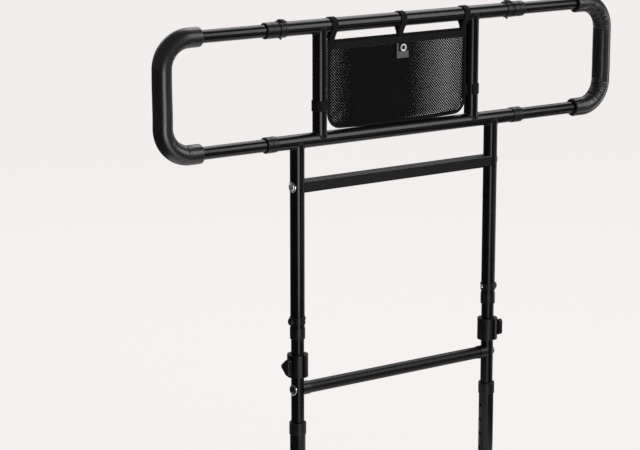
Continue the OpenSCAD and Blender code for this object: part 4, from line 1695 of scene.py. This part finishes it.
class ClothPanel:
    """A panel of the pouch as a net of places, from its bottom up."""

    def __init__(self, net):
        self.net = net
        self.rows = len(net)
        self.columns = len(net[0])

    def at(self, x, z):
        """Place on the panel of a point of the flat cloth."""
        share = (x / pouch_half_width(max(z, LOWEST)) + 1) / 2
        i = min(max(z / POUCH_H, 0.0), 1.0) * (self.rows - 1)
        j = min(max(share, 0.0), 1.0) * (self.columns - 1)
        i0 = min(int(i), self.rows - 2)
        j0 = min(int(j), self.columns - 2)
        low = self.net[i0][j0].lerp(self.net[i0][j0 + 1], j - j0)
        high = self.net[i0 + 1][j0].lerp(self.net[i0 + 1][j0 + 1], j - j0)
        return low.lerp(high, i - i0)

    def front(self, x, z):
        """The side that the panel faces there."""
        d = 3 * MM
        across = self.at(x + d, z) - self.at(x - d, z)
        up = self.at(x, min(z + d, POUCH_H)) - self.at(x, max(z - d, 0.5 * MM))
        return across.cross(up).normalized()


def flat_net(columns, rows, depth):
    """A net in the pouch's outline; depth gives y for a share across and a share up."""
    net = []
    for i in range(rows):
        up = i / (rows - 1)
        z = up * POUCH_H
        wide = pouch_half_width(max(z, LOWEST))
        row = []
        for j in range(columns):
            s = 2 * j / (columns - 1) - 1
            row.append(Vector((s * wide, depth(s, up), POUCH_LOW.z + z - bottom_drop(s, up))))
        net.append(row)
    return net


def edge_share(s, up, side, foot):
    """Rises from 0 at the sewn edge to 1 inside it; side and foot are the widths of the rise as shares."""
    across = min(1.0, (1 - abs(s)) / side)
    over = min(1.0, up / foot)
    return math.sin(across * math.pi / 2) * math.sin(over * math.pi / 2)


def front_depth(s, up):
    """The front panel as sewn: it stands off the seam by an even depth, and turns in to it at the edge."""
    depth = bpy.context.scene.rail_pouch_sizes.depth
    return SEAM_Y - 0.7 * MM - (depth - 1.7 * MM) * edge_share(s, up, 0.09, 0.14)


def back_net(net):
    """The back panel follows the front one at an even distance, and comes near it at the sewn edge."""
    depth = bpy.context.scene.rail_pouch_sizes.depth
    rows = len(net)
    columns = len(net[0])
    found = []
    for i, row in enumerate(net):
        line = []
        for j, p in enumerate(row):
            share = edge_share(2 * j / (columns - 1) - 1, i / (rows - 1), 0.05, 0.07)
            line.append(p + Vector((0, EDGE_GAP + (depth - EDGE_GAP) * share, 0)))
        found.append(line)
    return found


def settled_net(net):
    """Lets the cloth of the front panel settle in its sewn edge and stiff hem, and returns the new net."""
    sizes = bpy.context.scene.rail_pouch_sizes
    rows = len(net)
    columns = len(net[0])
    mesh = bpy.data.meshes.new("panel_cloth")
    faces = []
    for i in range(rows - 1):
        for j in range(columns - 1):
            k = i * columns + j
            faces.append((k, k + 1, k + columns + 1, k + columns))
    mesh.from_pydata([tuple(p) for row in net for p in row], [], faces)
    cloth_object = bpy.data.objects.new("panel_cloth", mesh)
    bpy.context.scene.collection.objects.link(cloth_object)
    held = cloth_object.vertex_groups.new(name="sewn")
    edge = [i * columns + j for i in range(rows) for j in range(columns)
            if i in (0, rows - 2, rows - 1) or j in (0, columns - 1)]
    held.add(edge, 1.0, "REPLACE")
    cloth = cloth_object.modifiers.new("cloth", "CLOTH")
    for key, value in CLOTH_SETTINGS.items():
        setattr(cloth.settings, key, value)
    cloth.collision_settings.use_collision = False
    cloth.point_cache.frame_start = 1
    cloth.point_cache.frame_end = sizes.settle_frames
    scene = bpy.context.scene
    for step in range(1, sizes.settle_frames + 1):
        scene.frame_set(step)
    graph = bpy.context.evaluated_depsgraph_get()
    result = cloth_object.evaluated_get(graph).to_mesh()
    places = [v.co.copy() for v in result.vertices]
    cloth_object.evaluated_get(graph).to_mesh_clear()
    bpy.data.objects.remove(cloth_object)
    bpy.data.meshes.remove(mesh)
    scene.frame_set(1)
    foremost = POUCH_LOW.y + 0.9 * MM
    hindmost = SEAM_Y + 0.3 * MM
    settled = []
    for i in range(rows):
        row = []
        for j in range(columns):
            was = net[i][j]
            p = places[i * columns + j]
            moved = p - was
            if moved.length > FARTHEST_MOVE:
                moved *= FARTHEST_MOVE / moved.length
            p = was + moved
            p.y = min(max(p.y, foremost), hindmost)
            row.append(p)
        settled.append(row)
    return settled


def diamond_mesh(panel, shift, stretch, top, margin):
    """The flat mesh cloth as a net of diamonds on a panel, up to a height and inside its binding."""
    sizes = bpy.context.scene.rail_pouch_sizes
    a = sizes.mesh_width / 4 * stretch
    b = sizes.mesh_height / 4
    points = {}
    places = []
    faces = []

    def corner(i, j):
        if (i, j) not in points:
            points[(i, j)] = len(places)
            places.append(tuple(panel.at(i * a + shift[0], j * b + shift[1])))
        return points[(i, j)]

    diamond = [(2, 0), (1, 1), (0, 2), (-1, 1), (-2, 0), (-1, -1), (0, -2), (1, -1)]
    reach = 0.09
    columns = 2 * int(reach / a)
    for i in range(-columns, columns + 1, 2):
        for j in range(0, int(POUCH_H / b) + 2, 2):
            if (i + j) % 4:
                continue
            x = i * a + shift[0]
            z = j * b + shift[1]
            if z < margin or z > top or abs(x) > pouch_half_width(max(z - margin, 0.0)) - margin:
                continue
            faces.append([corner(i + di, j + dj) for di, dj in diamond])
    mesh = bpy.data.meshes.new("diamonds")
    mesh.from_pydata(places, [], faces)
    return mesh


def mesh_cloth_piece(name, panel, shift, stretch, top):
    """An open mesh panel with real holes and a real thickness."""
    sizes = bpy.context.scene.rail_pouch_sizes
    diamonds = diamond_mesh(panel, shift, stretch, top, MESH_MARGIN)
    piece = grown(name, "perforation", diamonds, "mesh_yarn", 0, Radius=sizes.hole_radius)
    wall = piece.modifiers.new("wall", "SOLIDIFY")
    wall.thickness = sizes.yarn
    wall.offset = 0.0
    return baked(piece)


def hem_piece(name, panel, low, high, out):
    """A folded band along the mouth of a panel; out is how far each of its faces stands off the panel."""
    rings = []
    wide = pouch_half_width(POUCH_H) - 0.8 * MM
    columns = 120
    rows = 8
    thin_edge = 0.55
    heights = [low + (high - low) * n / rows for n in range(rows + 1)]
    for k in range(columns + 1):
        x = -wide + 2 * wide * k / columns
        ring = []
        for off, order in ((out[0], heights), (-out[1], heights[::-1])):
            for n, z in enumerate(order):
                swell = 1.0 if 0 < n < rows else thin_edge
                ring.append(panel.at(x, z) + panel.front(x, z) * off * swell)
        rings.append(ring)
    return Shell().loft(rings, caps=True).piece(name, "webbing_weave", 50)


def outline_path(inset, step=3 * MM):
    """Line round the pouch's sides and bottom, from its upper left to its upper right: (x, z, outward)."""
    corner = bpy.context.scene.rail_pouch_sizes.corner
    wide = pouch_half_width(POUCH_H)
    found = []
    rise = POUCH_H - corner
    count = int(rise / step)
    for k in range(count):
        found.append((-wide + inset, POUCH_H - rise * k / count, -1.0, 0.0))
    for k in range(16):
        a = math.pi / 2 * k / 16
        c = -math.cos(a)
        s = -math.sin(a)
        found.append((-wide + corner + (corner - inset) * c, corner + (corner - inset) * s, c, s))
    run = 2 * (wide - corner)
    count = int(run / step)
    for k in range(count + 1):
        found.append((-wide + corner + run * k / count, inset, 0.0, -1.0))
    mirrored = [(-x, z, -c, s) for x, z, c, s in reversed(found[: len(found) - count - 1])]
    return [(x, z - bottom_drop(x / wide, z / POUCH_H), c, s) for x, z, c, s in found + mirrored]


def binding_piece(name):
    """Tape folded round the edge of both panels."""
    wide = bpy.context.scene.rail_pouch_sizes.binding / 2
    rings = []
    oval = rounded([(-wide, -1.0 * MM, 0.9 * MM), (wide * 0.96, -1.5 * MM, 1.4 * MM),
                    (wide * 0.96, 1.5 * MM, 1.4 * MM), (-wide, 1.0 * MM, 0.9 * MM)], 4)
    for x, z, c, s in outline_path(wide * 0.96):
        centre = Vector((x, SEAM_Y + 0.2 * MM, POUCH_LOW.z + z))
        out = Vector((c, 0, s))
        rings.append([centre + out * a + Vector((0, b, 0)) for a, b in oval])
    return Shell().loft(rings, caps=True).piece(name, "webbing_weave", 60)


def surface_line(panel, places, out):
    """A sewing line on a panel's front, or on its back where out is negative."""
    line = []
    faces = []
    for x, z in places:
        side = panel.front(x, z) * (1 if out > 0 else -1)
        line.append(panel.at(x, z) + side * abs(out))
        faces.append(side)
    return line, faces, False


panels = {}


class BEDRAIL_OT_pouch(bpy.types.Operator):
    """Cuts the mesh panels of the pouch, lets the front one settle, and hems, binds and sews them"""

    bl_idname = "bedrail.pouch"
    bl_label = "Mesh pouch"

    def execute(self, context):
        sizes = context.scene.rail_pouch_sizes
        net = flat_net(PANEL_COLUMNS, PANEL_ROWS, front_depth)
        net = settled_net(net)
        front = ClothPanel(net)
        back = ClothPanel(back_net(net))
        panels["front"] = front
        panels["back"] = back
        brim = POUCH_H - sizes.front_drop
        low = brim - sizes.hem
        top = low + 1.5 * MM
        front_cloth = mesh_cloth_piece("pouch_front_mesh", front, (0.0, 0.0), 1.0, top)
        back_cloth = mesh_cloth_piece("pouch_back_mesh", back, sizes.back_shift, sizes.back_stretch, top)
        settle(front_cloth, "upper_frame", "mesh_cloth", "pouch")
        settle(back_cloth, "upper_frame", "mesh_cloth")
        hem = hem_piece("pouch_front_hem", front, low, brim, (0.75 * MM, 0.6 * MM))
        settle(hem, "upper_frame", "webbing")
        back_hem = hem_piece("pouch_back_hem", back, low, POUCH_H, (0.6 * MM, 0.6 * MM))
        settle(back_hem, "upper_frame", "webbing")
        tape = binding_piece("pouch_binding")
        settle(tape, "upper_frame", "webbing")
        rows = []
        wide = pouch_half_width(POUCH_H) - 9 * MM
        run = [-wide + 2 * wide * k / 100 for k in range(101)]
        hem_seams = (
            (front, low + 1.6 * MM, 0.85 * MM),
            (front, brim - 2.2 * MM, 0.85 * MM),
            (back, low + 1.6 * MM, -0.7 * MM),
        )
        for panel, z, out in hem_seams:
            rows.append(surface_line(panel, [(x, z) for x in run], out))
        edge = outline_path(sizes.binding * 0.72)
        for out in (-1, 1):
            line = [Vector((x, SEAM_Y + 0.2 * MM + out * 1.35 * MM, POUCH_LOW.z + z)) for x, z, *_ in edge]
            rows.append((line, [Vector((0, out, 0))] * len(line), False))
        thread = sewn("pouch_stitches", rows, sizes.stitch_pitch, STITCH, 0.0, 0.04, 7)
        settle(thread, "upper_frame", "webbing")
        flat = (2 * pouch_half_width(POUCH_H), POUCH_H)
        area = CLOTH_SHARE * flat[0] * flat[1]
        return {"FINISHED"}


# Loops and straps


LOOP_PLACES = (-144.5, 4.5, 147.5)
LOOP_WIDTH = 12.5 * MM
LOOP_THICK = 1.9 * MM
STRAP_THICK = 1.4 * MM
STRAP_OVERLAP = 2 * MM


def loop_line(thick, reach, back, front, overlap=12 * MM):
    """Line of a strap that is sewn to the pouch and goes round a tube, as (back, up) from the tube's axis.

    It hugs the far half of the tube, and its two legs meet on the pouch's side at the distance reach.
    """
    r = TUBE_R + 0.15 * MM + thick / 2
    points = [(back, -reach - overlap - 2 * MM), (back, -reach), (back + 3 * MM, -reach + 6 * MM)]
    start = -22
    step = 9.4
    for k in range(25):
        a = math.radians(start + k * step)
        points.append((r * math.cos(a), r * math.sin(a)))
    points += [(front - 3 * MM, -reach + 6 * MM), (front, -reach), (front, -reach - overlap)]
    return smoothed([Vector((0, a, b)) for a, b in points], 2)


class BEDRAIL_OT_straps(bpy.types.Operator):
    """Loops the webbing over the upper rail and round the uprights"""

    bl_idname = "bedrail.straps"
    bl_label = "Loops and straps"

    def execute(self, context):
        loops = Shell()
        rows = []
        back_side = Vector((0, 1, 0))
        hem_y = panels["back"].at(0, POUCH_H).y - RAIL_Y
        reach = UPPER_Z - POUCH_HIGH.z - 2 * MM
        path = loop_line(LOOP_THICK, reach, hem_y + 2.2 * MM, hem_y - 1.8 * MM)
        for place in LOOP_PLACES:
            x = place * MM
            line = [Vector((x, RAIL_Y + p.y, UPPER_Z + p.z)) for p in path]
            ribbon(loops, line, (1, 0, 0), LOOP_WIDTH, LOOP_THICK)
            start = POUCH_HIGH.z - 11 * MM
            for dx in (-4.4, 4.4):
                run = [Vector((x + dx * MM, RAIL_Y + hem_y + 3.2 * MM, start + k * MM)) for k in range(10)]
                rows.append((run, [back_side] * len(run), False))
        piece = loops.piece("pouch_hanging_webbing", "webbing_weave", 60)
        settle(piece, "upper_frame", "webbing", "pouch_hanging_loops")
        low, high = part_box("pouch_side_straps")
        height = high.z - low.z
        z = (low.z + high.z) / 2
        reach = UPRIGHT_X - pouch_half_width(POUCH_H)
        straps = Shell()
        path = loop_line(STRAP_THICK, reach, hem_y + 2.0 * MM, hem_y - 1.6 * MM, STRAP_OVERLAP)
        for side in (-1, 1):
            line = [Vector((side * (UPRIGHT_X + p.z), RAIL_Y + p.y, z)) for p in path]
            ribbon(straps, line, (0, 0, 1), height, STRAP_THICK)
            start = UPRIGHT_X - reach - 3.4 * MM
            y = RAIL_Y + hem_y + 2.8 * MM
            for dz in (-7, 7):
                run = [Vector((side * (start + k * MM), y, z + dz * MM)) for k in range(4)]
                rows.append((run, [back_side] * len(run), False))
        piece = straps.piece("pouch_side_webbing", "webbing_weave", 60)
        settle(piece, "upper_frame", "webbing", "pouch_side_straps")
        thread = sewn("strap_stitches", rows, 2.4 * MM, STRAP_STITCH, 0.0, 0.04, 9)
        settle(thread, "upper_frame", "webbing")
        return {"FINISHED"}


# Tag


def cloth_flap(name, finish_name, panel, middle_x, half_wide, top, bottom, lift):
    """A small flap on a panel's front that stands off by lift millimetres and curls a little at its foot."""
    rings = []
    rows = 24
    columns = 14
    thick = 0.5
    for k in range(rows + 1):
        share = k / rows
        z = top + (bottom - top) * share
        ring = []
        for off, order in ((thick, range(columns + 1)), (0.0, range(columns, -1, -1))):
            for n in order:
                across = 2 * n / columns - 1
                x = middle_x + half_wide * across
                curl = lift + off + 0.4 * share ** 2 + 0.5 * share ** 3 * abs(across) ** 3
                ring.append(panel.at(x, z) + panel.front(x, z) * curl * MM)
        rings.append(ring)
    return Shell().loft(rings, caps=True).piece(name, finish_name, 60)


class BEDRAIL_OT_tag(bpy.types.Operator):
    """Hangs the bare tag on the front hem with its press stud"""

    bl_idname = "bedrail.tag"
    bl_label = "Tag and press stud"

    def execute(self, context):
        shift = context.scene.rail_pouch_sizes.tag_shift
        front = panels["front"]
        low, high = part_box("pouch_tag")
        half_wide = (high.x - low.x) / 2
        top = high.z - POUCH_LOW.z
        foot = low.z - POUCH_LOW.z + 2 * MM
        label = cloth_flap("pouch_bare_tag", "tag_weave", front, shift, half_wide, top, foot, 0.9)
        settle(label, "upper_frame", "tag", "pouch_tag")
        tab_x = shift + 1.9 * MM
        tab_half = half_wide - 2.2 * MM
        tab_top = top + 0.5 * MM
        tab_foot = top - 13.5 * MM
        tab = cloth_flap("pouch_tag_tab", "webbing_weave", front, tab_x, tab_half, tab_top, tab_foot, 1.7)
        settle(tab, "upper_frame", "webbing")
        at = middle("tag_press_stud")
        x = at.x + shift - 4.6 * MM
        z = at.z - POUCH_LOW.z
        side = front.front(x, z)
        seat = front.at(x, z) + side * 2.5 * MM
        r = half("tag_press_stud").x / MM
        rim = rounded(
            [
                (-0.6, r - 3.6, 0.2),
                (-0.6, r - 0.4, 0.2),
                (0.4, r, 0.4),
                (1.3, r - 0.5, 0.6),
                (1.6, r - 1.6, 0.8),
                (1.3, r - 3.0, 0.5),
                (0.1, r - 3.6, 0.2),
            ],
            3,
        )
        stud = Shell().turned(rim, side, seat, 56).piece("tag_press_stud_ring", "satin_nickel", 45)
        settle(stud, "upper_frame", "bright_steel", "tag_press_stud")
        core = rounded(
            [
                (-0.6, 0, 0),
                (-0.6, r - 3.5, 0),
                (0.35, r - 3.6, 0.3),
                (0.0, r - 4.6, 0.5),
                (0.0, 0, 0),
            ],
            3,
        )
        socket = Shell().turned(core, side, seat, 40).piece("tag_press_stud_socket", "black_plastic", 45)
        settle(socket, "upper_frame", "bright_steel")
        return {"FINISHED"}


# Stage


STAGE_Y = -0.175
FLOOR_REACH = 60.0

# Lamps of the stage: name, place, aim and size in metres, brightness, spread in degrees, lights matt things
LAMPS = (
    ("overhead_box", (1.5, 1.0, 3.0), (0, STAGE_Y, 0.9), (2.2, 1.9), 2.6, 180, True),
    ("front_right_box", (1.42, -1.99, 1.78), (0, STAGE_Y, 0.95), (1.1, 1.7), 3.6, 180, True),
    ("front_right_skirt", (1.42, -1.99, 0.17), (0, STAGE_Y, 0.2), (0.9, 0.3), 0.7, 180, False),
    ("low_front_strip", (-0.62, -1.96, 0.4), (-0.45, STAGE_Y, 0.6), (0.95, 0.72), 0.66, 66, False),
    ("low_right_strip", (1.4, -0.4, 0.52), (1.4, 0.6, 0.52), (1.0, 1.0), 2.6, 180, False),
    ("back_box", (0.1, 2.5, 2.1), (0, STAGE_Y, 0.8), (1.8, 1.1), 1.6, 180, True),
)

# Dark flag: its first and last turn in degrees, and its section as (distance, height) in metres
FLAG_TURNS = (-200, 106)
FLAG_SECTION = ((0.7, 0.004), (2.5, 0.004), (2.5, 0.95))


def soft_box(name, place, aim, size, brightness, spread, lights):
    """An even rectangular lamp that shows so bright in a mirror."""
    data = bpy.data.lights.new(name, "AREA")
    data.shape = "RECTANGLE"
    data.size = size[0]
    data.size_y = size[1]
    data.energy = brightness * math.pi * size[0] * size[1]
    data.spread = math.radians(spread)
    lamp = bpy.data.objects.new(name, data)
    bpy.context.scene.collection.objects.link(lamp)
    lamp.location = place
    lamp.visible_camera = False
    lamp.visible_diffuse = lights
    lamp.rotation_euler = (Vector(aim) - Vector(place)).to_track_quat("-Z", "Y").to_euler()


def dark_flag():
    """A dark card round the front, which only mirrors see, so that black tubes stay black."""
    steps = 66
    points = []
    faces = []
    first, last = FLAG_TURNS
    for k in range(steps + 1):
        turn = math.radians(first + (last - first) * k / steps)
        out = Vector((math.sin(turn), -math.cos(turn), 0))
        for reach, height in FLAG_SECTION:
            points.append(tuple(Vector((0, STAGE_Y, height)) + out * reach))
    for k in range(steps):
        for j in (0, 1):
            n = 3 * k + j
            faces.append((n, n + 1, n + 4, n + 3))
    mesh = bpy.data.meshes.new("dark_flag")
    mesh.from_pydata(points, [], faces)
    f = Finish("flag_cloth")
    shade = f.shades(f.grain(200, 2.0, 0.5), (0.14,) * 3, (0.17,) * 3)
    mesh.materials.append(f.shine(Base_Color=shade, Roughness=0.9, IOR=1.1))
    return mirror_only("dark_flag", mesh)


def mirror_only(name, mesh):
    """A stage card that only mirrors see."""
    card = bpy.data.objects.new(name, mesh)
    bpy.context.scene.collection.objects.link(card)
    card.visible_camera = False
    card.visible_diffuse = False
    card.visible_transmission = False
    card.visible_shadow = False
    return card


def floor_cards():
    """Pale cards on the floor that carry the front strip's band down the lower tubes."""
    near_y = -0.85
    far_y = -1.9
    points = []
    for height, left, right in ((0.008, -0.48, -0.2), (0.009, -0.12, 0.07)):
        points += [(left, near_y, height), (right, near_y, height)]
        points += [(-0.17, far_y, height), (-1.07, far_y, height)]
    mesh = bpy.data.meshes.new("floor_cards")
    mesh.from_pydata(points, [], [(0, 1, 2, 3), (4, 5, 6, 7)])
    f = Finish("card_glow")
    glow = f.node("ShaderNodeEmission", {}, {"Color": (1, 1, 1, 1), "Strength": 1.2})
    f.node("ShaderNodeOutputMaterial", {}, {"Surface": glow})
    mesh.materials.append(f.material)
    return mirror_only("floor_cards", mesh)


class BEDRAIL_OT_stage(bpy.types.Operator):
    """Lays the floor and sets the light and the camera"""

    bl_idname = "bedrail.stage"
    bl_label = "Stage"

    def execute(self, context):
        scene = context.scene
        stage = scene.rail_stage
        mesh = bpy.data.meshes.new("floor")
        corners = ((-1, -1), (1, -1), (1, 1), (-1, 1))
        mesh.from_pydata([(a * FLOOR_REACH, b * FLOOR_REACH, 0) for a, b in corners], [], [(0, 1, 2, 3)])
        floor = bpy.data.objects.new("floor", mesh)
        scene.collection.objects.link(floor)
        f = Finish("floor_paper")
        rays = f.node("ShaderNodeLightPath")
        seen = rays.out("Is Camera Ray").most(rays.out("Is Glossy Ray")).most(rays.out("Is Transmission Ray"))
        fleck = f.grain(3.0, 2.0, 0.5)
        colour = f.shades(fleck, tint(stage.floor, 0.985), tint(stage.floor, 1.0))
        matt = f.node("ShaderNodeBsdfDiffuse", {}, {"Color": colour})
        glow = f.node("ShaderNodeEmission", {}, {"Color": (*stage.floor, 1), "Strength": 1.06})
        paper = f.node("ShaderNodeMixShader", {}, {0: seen * 0.9, 1: matt, 2: glow})
        f.node("ShaderNodeOutputMaterial", {}, {"Surface": paper})
        mesh.materials.append(f.material)
        world = bpy.data.worlds.new("studio")
        scene.world = world
        world.use_nodes = True
        sky = world.node_tree.nodes["Background"]
        sky.inputs["Color"].default_value = (0.95, 0.95, 0.96, 1)
        sky.inputs["Strength"].default_value = stage.daylight
        for lamp in LAMPS:
            soft_box(*lamp)
        dark_flag()
        floor_cards()
        camera = bpy.data.cameras.new("photo_camera")
        camera.lens = stage.lens
        camera.sensor_width = 36.0
        camera.clip_start = 0.05
        camera.clip_end = 200.0
        eye = bpy.data.objects.new("photo_camera", camera)
        scene.collection.objects.link(eye)
        a = stage.azimuth
        e = stage.elevation
        back = Vector((math.sin(a) * math.cos(e), -math.cos(a) * math.cos(e), math.sin(e)))
        eye.location = Vector(stage.target) + back * stage.distance
        eye.rotation_mode = "QUATERNION"
        eye.rotation_quaternion = (-back).to_track_quat("-Z", "Y")
        scene.camera = eye
        scene.view_settings.view_transform = "Standard"
        return {"FINISHED"}


class BEDRAIL_PT_pieces(bpy.types.Panel):
    """Lists the pieces of the bed rail and their sizes"""

    bl_idname = "BEDRAIL_PT_pieces"
    bl_label = "Bed rail"
    bl_space_type = "VIEW_3D"
    bl_region_type = "UI"
    bl_category = "Bed Rail"

    def draw(self, context):
        layout = self.layout
        for operator in OPERATORS:
            layout.operator(operator.bl_idname)
        for group in SETTINGS:
            box = layout.box()
            values = getattr(context.scene, group)
            for key in values.bl_rna.properties.keys():
                if key not in ("rna_type", "name"):
                    box.prop(values, key)


SETTINGS = {
    "rail_frame_sizes": FrameSizes,
    "rail_grip_sizes": GripSizes,
    "rail_pouch_sizes": PouchSizes,
    "rail_colours": FinishColours,
    "rail_stage": StageSettings,
}
OPERATORS = (
    BEDRAIL_OT_stage,
    BEDRAIL_OT_tubes,
    BEDRAIL_OT_crossbars,
    BEDRAIL_OT_collars,
    BEDRAIL_OT_locks,
    BEDRAIL_OT_bolts,
    BEDRAIL_OT_stops,
    BEDRAIL_OT_base,
    BEDRAIL_OT_grips,
    BEDRAIL_OT_pouch,
    BEDRAIL_OT_straps,
    BEDRAIL_OT_tag,
)
CLASSES = (*SETTINGS.values(), *OPERATORS, BEDRAIL_PT_pieces)


def register():
    for kind in CLASSES:
        bpy.utils.register_class(kind)
    for name, group in SETTINGS.items():
        setattr(bpy.types.Scene, name, PointerProperty(type=group))


def unregister():
    for name in SETTINGS:
        delattr(bpy.types.Scene, name)
    for kind in reversed(CLASSES):
        bpy.utils.unregister_class(kind)


def main():
    """Builds the stage and every piece."""
    register()
    bpy.ops.bedrail.stage()
    bpy.ops.bedrail.tubes()
    bpy.ops.bedrail.crossbars()
    bpy.ops.bedrail.collars()
    bpy.ops.bedrail.locks()
    bpy.ops.bedrail.bolts()
    bpy.ops.bedrail.stops()
    bpy.ops.bedrail.base()
    bpy.ops.bedrail.grips()
    bpy.ops.bedrail.pouch()
    bpy.ops.bedrail.straps()
    bpy.ops.bedrail.tag()


if __name__ == "__main__":
    main()
